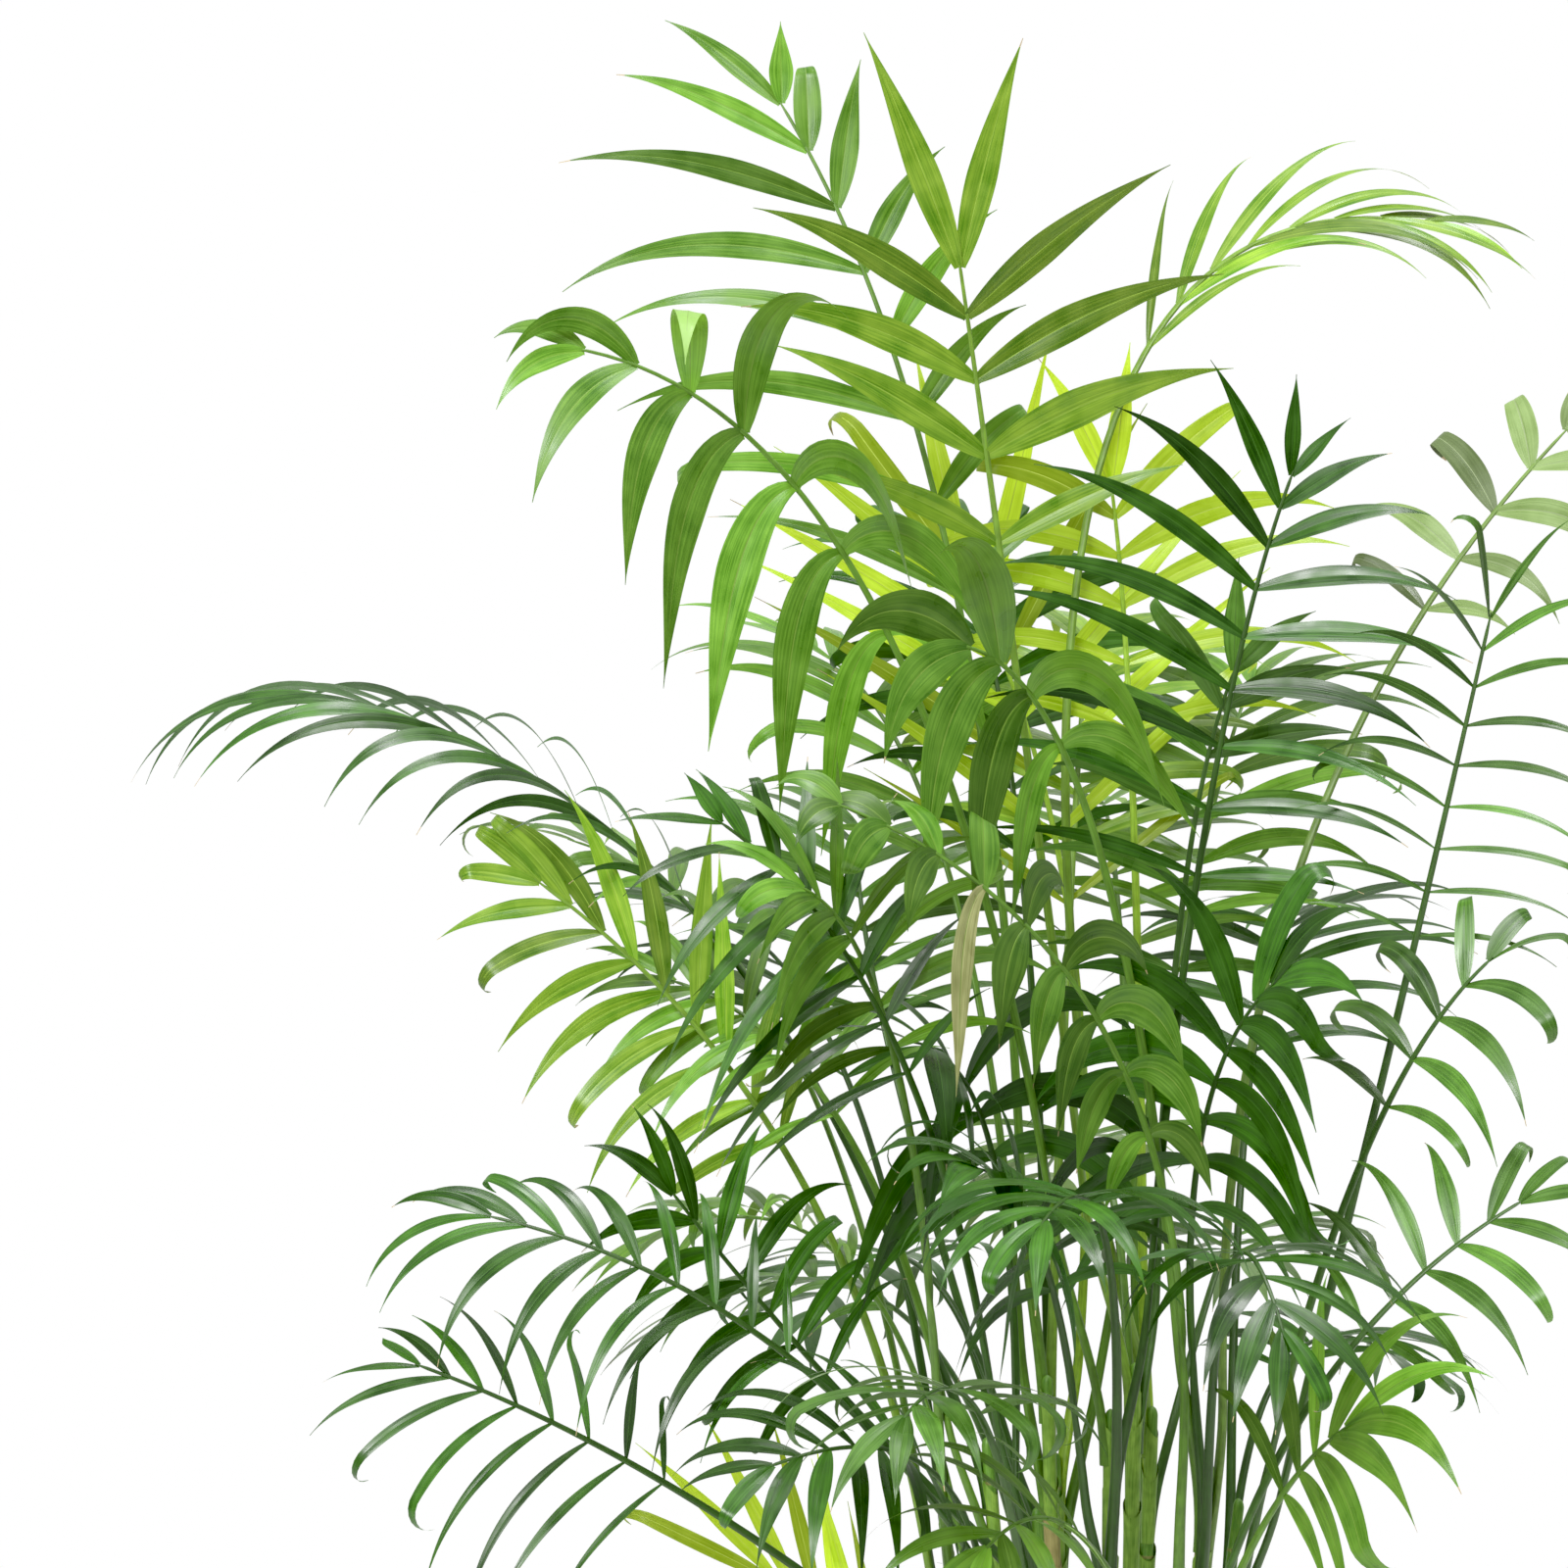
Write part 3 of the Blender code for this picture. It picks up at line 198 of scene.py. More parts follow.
# Fronds that show in the front view: cane, height of the foot, a point half way along the rib and
# its tip, each as x and z in the front view and depth behind the pot's axis.
shownFronds = {
    "front_curl": dict(
        cane=10, foot=0.312, middle=(0.020, 0.635, -0.150), tip=(-0.165, 0.810, -0.230),
        pairs=9, length=0.078, width=0.031, droop=2.8, crown=0.60, right=0.95, slender=0.3,
        curled=0.12, drape=0.8, dried=10, bare=0.38),
    "centre_drape": dict(
        cane=5, foot=0.372, middle=(0.005, 0.765, -0.105), tip=(-0.085, 0.905, -0.150),
        face=toViewer, pairs=4, length=0.150, width=0.040, droop=3.2, crown=0.7, edge=10.0,
        slender=0.2, curled=0.0, drape=1.0, lift=26.0, closing=2.2, bare=0.60),
    "front_left_blue": dict(
        cane=7, foot=0.354, middle=(-0.115, 0.640, -0.120), tip=(-0.233, 0.798, -0.150),
        length=0.175, width=0.013, droop=0.8, crown=0.42, right=0.50, skew=15.0, edge=35.0,
        bare=0.44, tone="dark"),
    "dark_comb": dict(
        cane=2, foot=0.396, middle=(0.063, 0.775, -0.075), tip=(0.120, 1.012, -0.090),
        face=toViewer, pairs=9, length=0.172, width=0.016, droop=0.75, sweep=0.90, crown=0.36,
        right=0.8, edge=24.0, bare=0.42, tone="dark"),
    "arching_left": dict(
        cane=2, foot=0.426, middle=(-0.125, 0.905, -0.070), tip=(-0.322, 1.087, -0.110),
        face=toViewer, pairs=7, length=0.172, width=0.037, droop=3.6, sweep=0.90, crown=0.40,
        right=0.9, edge=10.0, slender=0.5, curled=0.1, drape=0.9, lift=30.0, closing=2.6,
        bare=0.44),
    "tall_centre": dict(
        cane=0, foot=0.450, middle=(-0.050, 0.890, 0.010), tip=(-0.085, 1.142, 0.000),
        face=toViewer, pairs=5, length=0.160, width=0.032, droop=0.45, sweep=0.72, crown=0.92,
        right=1.02, skew=-7.0, slender=0.4, curled=0.0, closing=6.0, bare=0.54, tone="fresh"),
    "tall_left": dict(
        cane=1, foot=0.443, middle=(-0.085, 0.930, 0.060), tip=(-0.196, 1.240, 0.090),
        face=toViewer, pairs=8, length=0.210, width=0.020, droop=0.85, sweep=0.66, crown=0.46,
        right=0.52, skew=4.0, edge=10.0, bare=0.44),
    "far_left": dict(
        cane=4, foot=0.390, middle=(-0.235, 0.728, 0.030), tip=(-0.460, 0.870, 0.040),
        face=toSky, pairs=10, length=0.150, width=0.012, droop=1.45, sweep=0.52, crown=1.15,
        edge=-30.0, curled=0.0, closing=2.6, bare=0.50, tone="dark"),
    "bright_left": dict(
        cane=9, foot=0.246, middle=(-0.172, 0.560, 0.005), tip=(-0.345, 0.762, -0.015),
        face=toViewer, pairs=9, length=0.120, width=0.016, droop=1.1, sweep=0.66, crown=0.50,
        right=1.05, skew=12.0, edge=15.0, bare=0.54, tone="fresh"),
    "low_left_dark": dict(
        cane=7, foot=0.300, middle=(-0.190, 0.470, -0.110), tip=(-0.375, 0.556, -0.120),
        pairs=9, length=0.120, width=0.011, droop=1.8, sweep=0.70, crown=0.8, right=0.7, edge=20.0,
        bare=0.44, tone="dark"),
    "low_left_comb": dict(
        cane=4, foot=0.234, middle=(-0.245, 0.380, -0.060), tip=(-0.418, 0.465, -0.080),
        face=toViewer, length=0.138, width=0.009, droop=1.4, sweep=0.75, crown=0.4, right=0.6,
        edge=35.0, closing=2.6, bare=0.50, tone="dark"),
    "top_right_arch": dict(
        cane=3, foot=0.417, middle=(0.000, 1.010, 0.080), tip=(0.205, 1.164, 0.110),
        pairs=8, length=0.145, width=0.014, droop=1.2, sweep=0.28, crown=0.50, curled=0.0,
        bare=0.58, tone="fresh"),
    "right_pale": dict(
        cane=5, foot=0.348, middle=(0.116, 0.745, -0.035), tip=(0.290, 1.040, 0.010),
        pairs=5, length=0.092, width=0.019, droop=1.2, crown=0.5, curled=0.3, bare=0.74,
        tone="pale"),
    "right_comb": dict(
        cane=8, foot=0.288, middle=(0.172, 0.630, -0.030), tip=(0.241, 0.925, -0.120),
        face=toViewer, pairs=9, length=0.105, width=0.008, droop=0.9, crown=0.8, edge=60.0,
        bare=0.62, tone="blue"),
    "right_low": dict(
        cane=8, foot=0.264, middle=(0.150, 0.560, -0.050), tip=(0.242, 0.714, -0.090),
        pairs=5, length=0.085, width=0.015, droop=1.7, right=1.35, edge=30.0, curled=0.4,
        bare=0.58, tone="blue"),
    "right_lower": dict(
        cane=10, foot=0.288, middle=(0.140, 0.455, -0.110), tip=(0.262, 0.566, -0.120),
        pairs=6, length=0.090, width=0.013, droop=1.3, right=1.2, curled=0.3, bare=0.54,
        tone="blue"),
    "right_foot": dict(
        cane=10, foot=0.237, middle=(0.098, 0.360, -0.140), tip=(0.155, 0.428, -0.190),
        pairs=5, length=0.125, width=0.020, droop=1.7, crown=0.9, closing=1.8, bare=0.58),
    "back_bright": dict(
        cane=6, foot=0.372, middle=(-0.015, 0.720, 0.120), tip=(-0.084, 0.952, 0.140),
        face=toViewer, pairs=7, length=0.205, width=0.016, droop=0.15, sweep=0.66, crown=0.8,
        skew=-6.0, bare=0.48, tone="bright"),
    "back_bright_right": dict(
        cane=3, foot=0.390, middle=(0.022, 0.800, 0.085), tip=(0.008, 1.005, 0.090),
        face=toViewer, pairs=6, length=0.150, width=0.018, droop=0.9, bare=0.52, tone="bright"),
    "grey_right": dict(
        cane=0, foot=0.426, middle=(0.050, 0.730, 0.020), tip=(0.085, 0.892, 0.010),
        face=toViewer, pairs=6, length=0.110, width=0.017, droop=0.8, bare=0.34, tone="blue"),
    "left_tuft": dict(
        cane=7, foot=0.330, middle=(-0.160, 0.450, -0.060), tip=(-0.262, 0.572, -0.070),
        pairs=7, length=0.105, width=0.014, droop=1.5, bare=0.46, tone="dark"),
    "low_left_bright": dict(
        cane=9, foot=0.225, middle=(-0.120, 0.275, 0.030), tip=(-0.200, 0.335, 0.040),
        face=toViewer, pairs=6, length=0.125, width=0.011, droop=0.1, sweep=0.55, crown=1.0,
        bare=0.56, tone="bright"),
    "front_low": dict(
        cane=2, foot=0.348, middle=(0.005, 0.540, -0.160), tip=(-0.035, 0.550, -0.280),
        face=toSky, pairs=8, length=0.125, width=0.018, droop=1.6, tone="dark"),
    "front_low_right": dict(
        cane=5, foot=0.318, middle=(0.080, 0.520, -0.150), tip=(0.115, 0.480, -0.250),
        face=toSky, pairs=7, length=0.110, width=0.017, droop=1.6, tone="dark"),
    "front_low_left": dict(
        cane=7, foot=0.270, middle=(-0.070, 0.430, -0.170), tip=(-0.120, 0.430, -0.270),
        face=toSky, pairs=8, length=0.120, width=0.016, droop=1.6, tone="blue"),
    "mid_left_thin": dict(
        cane=4, foot=0.354, middle=(-0.150, 0.600, 0.000), tip=(-0.262, 0.700, 0.020),
        pairs=8, length=0.110, width=0.013, droop=1.3, bare=0.50),
    "low_front_fan": dict(
        cane=4, foot=0.270, middle=(-0.105, 0.395, -0.120), tip=(-0.205, 0.400, -0.190),
        pairs=8, length=0.105, width=0.014, droop=1.5, bare=0.40, tone="dark"),
    "low_centre": dict(
        cane=5, foot=0.240, middle=(-0.010, 0.360, -0.150), tip=(-0.070, 0.350, -0.230),
        pairs=7, length=0.105, width=0.015, droop=1.6, bare=0.44, tone="mid"),
    "mid_dark_left": dict(
        cane=7, foot=0.318, middle=(-0.045, 0.570, -0.080), tip=(-0.110, 0.660, -0.120),
        pairs=7, length=0.150, width=0.026, droop=2.4, drape=0.6, bare=0.38, tone="dark"),
    "mid_dark_right": dict(
        cane=5, foot=0.330, middle=(0.060, 0.580, -0.080), tip=(0.110, 0.700, -0.130),
        pairs=8, length=0.140, width=0.024, droop=2.2, drape=0.5, bare=0.38, tone="dark"),
    "centre_left": dict(
        cane=9, foot=0.318, middle=(-0.090, 0.640, -0.090), tip=(-0.170, 0.760, -0.160),
        pairs=7, length=0.120, width=0.018, droop=1.8, bare=0.50),
    "mid_front": dict(
        cane=2, foot=0.330, middle=(-0.030, 0.520, -0.110), tip=(-0.075, 0.585, -0.200),
        pairs=8, length=0.115, width=0.020, droop=2.2, curled=0.25, bare=0.40, tone="dark"),
}

# Fronds that the front view hides, in fans round the back and sides: how many, the first and last
# direction in degrees from +X, the tip's reach and height, and how far the middle of the rib
# rises over a straight line.
hiddenFans = {
    "back_high": dict(
        count=4, first=66.0, last=130.0, reach=0.260, height=0.930, rise=0.110,
        length=0.150, width=0.018, tones=("mid", "fresh", "dark")),
    "back_mid": dict(
        count=5, first=62.0, last=158.0, reach=0.350, height=0.780, rise=0.120,
        length=0.140, width=0.016, tones=("dark", "mid", "blue")),
    "back_low": dict(
        count=6, first=44.0, last=176.0, reach=0.290, height=0.500, rise=0.110,
        length=0.120, width=0.015, tones=("dark", "blue", "mid")),
}


def outerRadius(height):
    # the pot's wall below its rim band
    bandFoot = pot["height"] - pot["bandHeight"]
    return pot["footRadius"] + (pot["shoulderRadius"] - pot["footRadius"]) * height / bandFoot


def caneShape(index):
    reach = cane["spread"] * math.sqrt((index + 0.5) / cane["count"])
    turn = cane["turn"] * index
    foot = Vector((reach * math.cos(turn), reach * math.sin(turn), soilTop + clearance))
    spread = 1.0 + cane["lean"]
    top = Vector((foot.x * spread, foot.y * spread, cane["tallest"] - cane["step"] * index))
    return {"foot": foot, "top": top, "turn": turn}


def caneCentre(shape, height):
    share = (height - shape["foot"].z) / (shape["top"].z - shape["foot"].z)
    return shape["foot"].lerp(shape["top"], share)


def caneRadius(shape, height):
    above = height - shape["foot"].z
    if above < cane["flareHeight"]:
        drop = cane["lowRadius"] - cane["footRadius"]
        return cane["footRadius"] + drop * above / cane["flareHeight"]
    share = (above - cane["flareHeight"]) / (shape["top"].z - shape["foot"].z - cane["flareHeight"])
    return cane["lowRadius"] + (cane["topRadius"] - cane["lowRadius"]) * share


def inSpace(x, z, depth):
    scale = (depth - eye.y) / -eye.y
    return Vector((eye.x + (x - eye.x) * scale, depth, eye.z + (z - eye.z) * scale))


def curveAt(curve, share):
    start, bend, tip = curve
    rest = 1.0 - share
    return start * rest * rest + bend * 2.0 * share * rest + tip * share * share


def slopeAt(curve, share):
    start, bend, tip = curve
    return ((bend - start) * (1.0 - share) + (tip - bend) * share).normalized()


def planFronds():
    plans = []
    used = [0] * cane["count"]
    for name, shown in shownFronds.items():
        plan = {**usualFrond, **shown, "name": "frond_" + name}
        plan["middle"] = inSpace(*shown["middle"])
        plan["tip"] = inSpace(*shown["tip"])
        used[plan["cane"]] += 1
        plans.append(plan)
    for name, row in hiddenFans.items():
        for k in range(row["count"]):
            turn = math.radians(row["first"] + (row["last"] - row["first"]) * k / (row["count"] - 1))
            outward = Vector((math.cos(turn), math.sin(turn), 0.0))
            index = freeCane(outward, row["height"], used)
            used[index] += 1
            shape = caneShape(index)
            height = shape["top"].z - fan["firstFoot"] - fan["footStep"] * used[index]
            height = max(height, soilTop + fan["leastFoot"])
            tip = outward * row["reach"] * (1.0 + fan["reachWave"] * math.sin(fan["reachTurn"] * k))
            phase = row["reach"] * fan["heightPhase"]
            tip.z = row["height"] + fan["heightWave"] * math.cos(fan["heightTurn"] * k + phase)
            rise = row["rise"]
            middle = caneCentre(shape, height).lerp(tip, 0.5) + Vector((0.0, 0.0, rise))
            plans.append({
                **usualFrond, "name": "frond_%s_%d" % (name, k + 1), "cane": index, "foot": height,
                "middle": middle - outward * rise * fan["middleBack"], "tip": tip,
                "face": Vector((0.0, 0.0, 1.0)) - outward * fan["faceOut"], "length": row["length"],
                "width": row["width"], "tone": row["tones"][k % len(row["tones"])],
            })
    return plans


def freeCane(outward, tipHeight, used):
    def cost(index):
        top = caneShape(index)["top"]
        gain = Vector((top.x, top.y, 0.0)).dot(outward) * fan["sideGain"]
        level = abs(top.z + fan["frondAboveCane"] - tipHeight)
        return used[index] * fan["crowdCost"] - gain + level * fan["heightCost"]
    return min(range(cane["count"]), key=cost)


def ribRadius(plan, share):
    if share < plan["bare"]:
        drop = rib["bladeRadius"] - rib["footRadius"]
        return rib["footRadius"] + drop * share / plan["bare"]
    part = (share - plan["bare"]) / (1.0 - plan["bare"])
    return rib["bladeRadius"] + (rib["tipRadius"] - rib["bladeRadius"]) * part


def stationAt(plan, curve, share):
    slope = slopeAt(curve, share)
    upper = plan["face"] - slope * plan["face"].dot(slope)
    upper.normalize()
    return {"centre": curveAt(curve, share), "slope": slope, "upper": upper,
            "side": slope.cross(upper), "radius": ribRadius(plan, share)}


def shapeRib(plan, attempt):
    shape = caneShape(plan["cane"])
    slide = attempt // room["leanTurns"]
    height = plan["foot"] + room["footDrop"] * ((slide + 1) // 2) * (1.0 if slide % 2 else -1.0)
    height = min(max(height, soilTop + room["aboveSoil"]), shape["top"].z - room["belowTop"])
    lean = attempt % room["leanTurns"]
    centre = caneCentre(shape, height)
    towards = plan["middle"] - centre
    step = 2.0 * math.pi / cane["sides"]
    facet = shape["turn"] + step * round((math.atan2(towards.y, towards.x) - shape["turn"]) / step)
    outward = Vector((math.cos(facet), math.sin(facet), 0.0))
    flat = caneRadius(shape, height) * math.cos(math.pi / cane["sides"])
    foot = centre + outward * (flat + clearance)
    start = foot + outward * rib["shoulderOut"] + Vector((0.0, 0.0, rib["shoulderUp"]))
    chord = (plan["tip"] - start).normalized()
    across = chord.cross(Vector((0.0, 0.0, 1.0)))
    across.normalize()
    above = across.cross(chord)
    angle = lean * cane["turn"]
    aside = (across * math.cos(angle) + above * math.sin(angle)) * room["leanStep"] * lean
    middle = plan["middle"] + aside
    tip = plan["tip"] + aside * room["leanAtTip"]
    curve = (start, middle * 2.0 - (start + tip) * 0.5, tip)
    bare = plan["bare"]
    blade = (tip - curveAt(curve, bare)).length
    shares = [bare * k / rib["petioleStations"] for k in range(rib["petioleStations"])]
    for k in range(plan["pairs"]):
        along = 1.0 - (1.0 - (k + 1) / plan["pairs"]) ** leaflet["spacing"]
        last = bare + (1.0 - bare) * along
        root = max(plan["width"] * leaflet["rootShare"], leaflet["shortestRoot"]) * (1.0 - bare) / blade
        shares += [last - root, last]
    return {"foot": foot, "outward": outward, "axis": (shape["top"] - shape["foot"]).normalized(),
            "height": height, "curve": curve,
            "stations": [stationAt(plan, curve, share) for share in shares]}


def corners(station, extra=0.0):
    # left, right and lower corner of the source's three-sided rib
    radius = station["radius"] + extra
    raised = station["centre"] + station["upper"] * radius * rib["ridge"]
    return (raised - station["side"] * radius, raised + station["side"] * radius,
            station["centre"] - station["upper"] * radius)


def footCorners(shape):
    first = shape["stations"][0]
    slope = (first["centre"] - shape["foot"]).normalized()
    plane = shape["axis"].cross(shape["outward"].cross(Vector((0.0, 0.0, 1.0))))
    plane *= 1.0 if plane.dot(shape["outward"]) > 0.0 else -1.0
    plane.normalize()
    return [corner - slope * ((corner - shape["foot"]).dot(plane) / slope.dot(plane))
            for corner in corners(first)]


def barPolygons(rings):
    points = [point for ring in rings for point in ring]
    faces = []
    for k in range(len(rings) - 1):
        a = 3 * k
        for low, high in ((0, 1), (1, 2), (2, 0)):
            faces.append((a + low, a + high, a + 3 + high))
            faces.append((a + low, a + 3 + high, a + 3 + low))
    last = 3 * (len(rings) - 1)
    return points, faces + [(0, 2, 1), (last, last + 1, last + 2)]


def makeTree(points, faces):
    return BVHTree.FromPolygons([tuple(point) for point in points], faces)


def joinShapes(shapes):
    points = []
    faces = []
    for morePoints, moreFaces in shapes:
        faces.extend(tuple(index + len(points) for index in face) for face in moreFaces)
        points.extend(morePoints)
    return points, faces


def placeRibs(plans, fixed):
    # each rib leans aside, and its foot slides along its cane, until it touches nothing
    placed = list(fixed)
    for plan in plans:
        others = makeTree(*joinShapes(placed))
        for attempt in range(room["leanTurns"] * room["footTries"]):
            shape = shapeRib(plan, attempt)
            loose = [corners(station, room["rib"]) for station in shape["stations"]]
            tight = [footCorners(shape), corners(shape["stations"][0])]
            if not any(makeTree(*barPolygons(rings)).overlap(others) for rings in (loose, tight)):
                break
        plan["rib"] = shape
        rings = [footCorners(shape)] + [corners(station) for station in shape["stations"]]
        plan["bar"] = barPolygons(rings)
        placed.append(plan["bar"])


def leafSize(plan, share):
    longestAt = leaflet["longestAt"]
    if share < longestAt:
        length = 1.0 - leaflet["lowestLack"] * (1.0 - share / longestAt) ** 2
    else:
        beyond = (share - longestAt) / (1.0 - longestAt)
        length = 1.0 - (1.0 - plan["crown"]) * beyond ** 2
    width = leaflet["lowestWidth"] + leaflet["addedWidth"] * math.sqrt(share)
    width *= 1.0 - plan["slender"] * share
    return plan["length"] * length, plan["width"] * width * length ** leaflet["slimming"]


def leafPath(leaf, start, heading, upper):
    # a leaflet's middle line: it bends down under its own weight, and a curled one folds over
    steps = leaflet["steps"]
    sudden = leaflet["drapeAtRoot"]
    points = [start]
    ways = [heading]
    uppers = [upper]
    for k in range(steps):
        share = (k + 0.5) / steps
        spread = leaflet["bendAtRoot"] + leaflet["bendGrowth"] * share
        folded = sudden * (1.0 - share) ** (sudden - 1.0)
        bend = leaf["droop"] * (spread + (folded - spread) * leaf["drape"]) / steps
        turned = (heading + Vector((0.0, 0.0, -bend))).normalized()
        if share > leaflet["curlFrom"]:
            across = turned.cross(upper).normalized()
            turned = Quaternion(across, -leaf["curl"] / ((1.0 - leaflet["curlFrom"]) * steps)) @ turned
        upper = heading.rotation_difference(turned) @ upper
        heading = turned
        points.append(points[-1] + heading * (leaf["length"] / steps))
        ways.append(heading)
        uppers.append(upper)
    return points, ways, uppers


def drawLeaf(plan, station, following, order, luck):
    # everything about one leaflet that chance decides, drawn in a fixed order
    share = (order // 2) / (plan["pairs"] - 1)
    length, width = leafSize(plan, share)
    angle = leaflet["terminalAngle"] - leaflet["baseAngle"]
    angle = leaflet["baseAngle"] + angle * share ** plan["closing"]
    leaf = {
        "sign": 1.0 if order % 2 else -1.0,
        "length": length * luck.uniform(*chance["length"]) * (plan["right"] if order % 2 else 1.0),
        "width": width * luck.uniform(*chance["width"]),
        "angle": angle * plan["sweep"] + luck.uniform(-chance["angle"], chance["angle"]),
        "lift": plan["lift"] + luck.uniform(*chance["lift"]),
        "roll": plan["edge"] + luck.uniform(-chance["roll"], chance["roll"]),
        "droop": plan["droop"] * length / plan["length"] * luck.uniform(*chance["bend"]),
        "curled": luck.random() < plan["curled"], "drape": plan["drape"] * (1.0 - share),
    }
    leaf["dried"] = order == plan["dried"]
    leaf["curl"] = leaflet["curlFold"] if leaf["curled"] else leaflet["plainFold"]
    if leaf["dried"]:
        leaf["droop"] = leaflet["driedHang"]
        leaf["length"] *= leaflet["driedLength"]
        leaf["width"] *= leaflet["driedWidth"]
    leaf["angle"] -= plan["skew"] * leaf["sign"]
    widestAt = leaf["length"] * leaflet["inner"] / leaflet["steps"]
    spread = math.degrees(math.atan(leaf["width"] * leaflet["leastSpread"] / widestAt))
    leaf["angle"] = max(leaf["angle"], spread)
    leaf["slope"] = (station["slope"] + following["slope"]).normalized()
    leaf["upper"] = (station["upper"] + following["upper"]).normalized()
    leaf["side"] = leaf["slope"].cross(leaf["upper"]) * leaf["sign"]
    leaf["start"] = station["centre"].lerp(following["centre"], 0.5)
    leaf["radius"] = (station["radius"] + following["radius"]) * 0.5
    return leaf


def layLeaf(leaf, lift, swing):
    # the leaflet's middle line at a tried lift and swing, in degrees
    angle = math.radians(leaf["angle"] + swing)
    raised = math.radians(leaf["lift"] + lift)
    flat = leaf["side"] * math.cos(raised) + leaf["upper"] * math.sin(raised)
    heading = (leaf["slope"] * math.cos(angle) + flat * math.sin(angle)).normalized()
    upper = leaf["upper"] - heading * leaf["upper"].dot(heading)
    upper.normalize()
    upper = Quaternion(heading, math.radians(-leaf["roll"] * leaf["sign"])) @ upper
    start = leaf["start"] + leaf["side"] * leaf["radius"]
    return leafPath(leaf, start, heading, upper)


def leafSections(leaf, path, extra=0.0):
    # the two ridged sections and the point of the source's coarse blade
    points, ways, uppers = path
    found = []
    lastAcross = leaf["slope"]
    for index, widthShare in ((leaflet["inner"], 1.0), (leaflet["outer"], leaflet["outerWidth"])):
        across = ways[index].cross(uppers[index]).normalized()
        if across.dot(lastAcross) < 0.0:
            across = -across
        lastAcross = across
        half = leaf["width"] * 0.5 * widthShare + extra
        low = points[index] - uppers[index] * extra
        thick = leaflet["pointThickness"] + (1.0 - leaflet["pointThickness"]) * widthShare
        thick *= leaf["length"] * leaflet["thickness"]
        found += [low - across * half, low + across * half, points[index] + uppers[index] * (thick + extra)]
    return found + [points[-1] + ways[-1] * extra]


def leafFaces(root, first):
    # root: upper back, upper front, lower back, lower front; then two sections and the point
    upperBack, upperFront, lowerBack, lowerFront = root
    back, front, ridge, back2, front2, ridge2, point = range(first, first + 7)
    return [
        (lowerBack, lowerFront, front), (lowerBack, front, back), (lowerBack, back, ridge),
        (lowerBack, ridge, upperBack), (upperBack, ridge, upperFront), (upperFront, ridge, front),
        (upperFront, front, lowerFront), (back, front, front2), (back, front2, back2),
        (back, back2, ridge2), (back, ridge2, ridge), (ridge, ridge2, front2),
        (ridge, front2, front), (back2, front2, point), (back2, point, ridge2),
        (ridge2, point, front2),
    ]


def bendTries():
    found = [(0.0, 0.0)]
    for ring in range(1, room["rings"] + 1):
        for turn in range(room["turns"]):
            angle = 2.0 * math.pi / room["turns"] * turn + room["ringTwist"] * ring
            lift = room["ringLift"] * ring * math.sin(angle)
            found.append((lift, room["ringSwing"] * ring * math.cos(angle)))
    return found


def cutsBeyond(points, face, otherFace):
    # whether two faces cut each other in more than the corners that they share
    shared = set(face) & set(otherFace)
    if len(shared) != 1:
        return not shared
    for first, second in ((face, otherFace), (otherFace, face)):
        start, end = [points[corner] for corner in first if corner not in shared]
        hit = intersect_ray_tri(*[points[corner] for corner in second], end - start, start, True)
        if hit is not None and (hit - start).length < (end - start).length:
            return True
    return False


def crosses(points, newFaces, kept, keptTree):
    # whether a leaflet cuts itself or the frond that it grows on
    tree = makeTree(points, newFaces)
    if any(cutsBeyond(points, newFaces[i], kept[j]) for i, j in tree.overlap(keptTree)):
        return True
    return any(i < j and cutsBeyond(points, newFaces[i], newFaces[j]) for i, j in tree.overlap(tree))


def growFrond(plan, index, others):
    # where each leaflet of the frond lies once it touches nothing, and the coarse blades
    luck = random.Random(chance["seed"] + index)
    stations = plan["rib"]["stations"]
    points = list(plan["bar"][0])
    faces = list(plan["bar"][1])
    whole = []
    grown = []
    for order in range(plan["pairs"] * 2):
        low = rib["petioleStations"] + order // 2 * 2
        leaf = drawLeaf(plan, stations[low], stations[low + 1], order, luck)
        side = 1 if leaf["sign"] > 0.0 else 0
        a = 3 * (low + 1)
        root = (a + side, a + 3 + side, a + 2, a + 5)
        first = len(points)
        newFaces = leafFaces(root, first)
        rootFaces = ({(a + 1, a + 2, a + 5), (a + 1, a + 5, a + 4)} if side else
                     {(a + 2, a, a + 3), (a + 2, a + 3, a + 5)})
        kept = [face for face in faces if face not in rootFaces]
        ownTree = makeTree(points, kept)
        for lift, swing in bendTries():
            path = layLeaf(leaf, lift, swing)
            real = points + leafSections(leaf, path)
            loose = points + leafSections(leaf, path, room["leaf"])
            if crosses(real, newFaces, kept, ownTree) or crosses(loose, newFaces, kept, ownTree):
                continue
            if not makeTree(loose, newFaces).overlap(others):
                break
        else:
            continue
        points = real
        faces = kept + newFaces
        rooted = [points[corner] for corner in root] + points[first:]
        whole.append((rooted, leafFaces((0, 1, 2, 3), 4)))
        leaf["path"] = path
        grown.append(leaf)
    return grown, whole


def nodeShape(name):
    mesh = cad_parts[name].data
    return [v.co.copy() for v in mesh.vertices], [tuple(p.vertices) for p in mesh.polygons]


def growPalm():
    names = ["pot", "soil"] + ["cane_%02d" % (k + 1) for k in range(cane["count"])]
    fixed = [nodeShape(name) for name in names]
    plans = planFronds()
    placeRibs(plans, fixed)
    grown = []
    for index, plan in enumerate(plans):
        bars = [other["bar"] for other in plans if other is not plan]
        plan["leaves"], whole = growFrond(plan, index, makeTree(*joinShapes(fixed + bars + grown)))
        grown += whole
    return plans


palm = growPalm()
print("grown,", len(palm), "fronds and", sum(len(plan["leaves"]) for plan in palm), "leaflets")


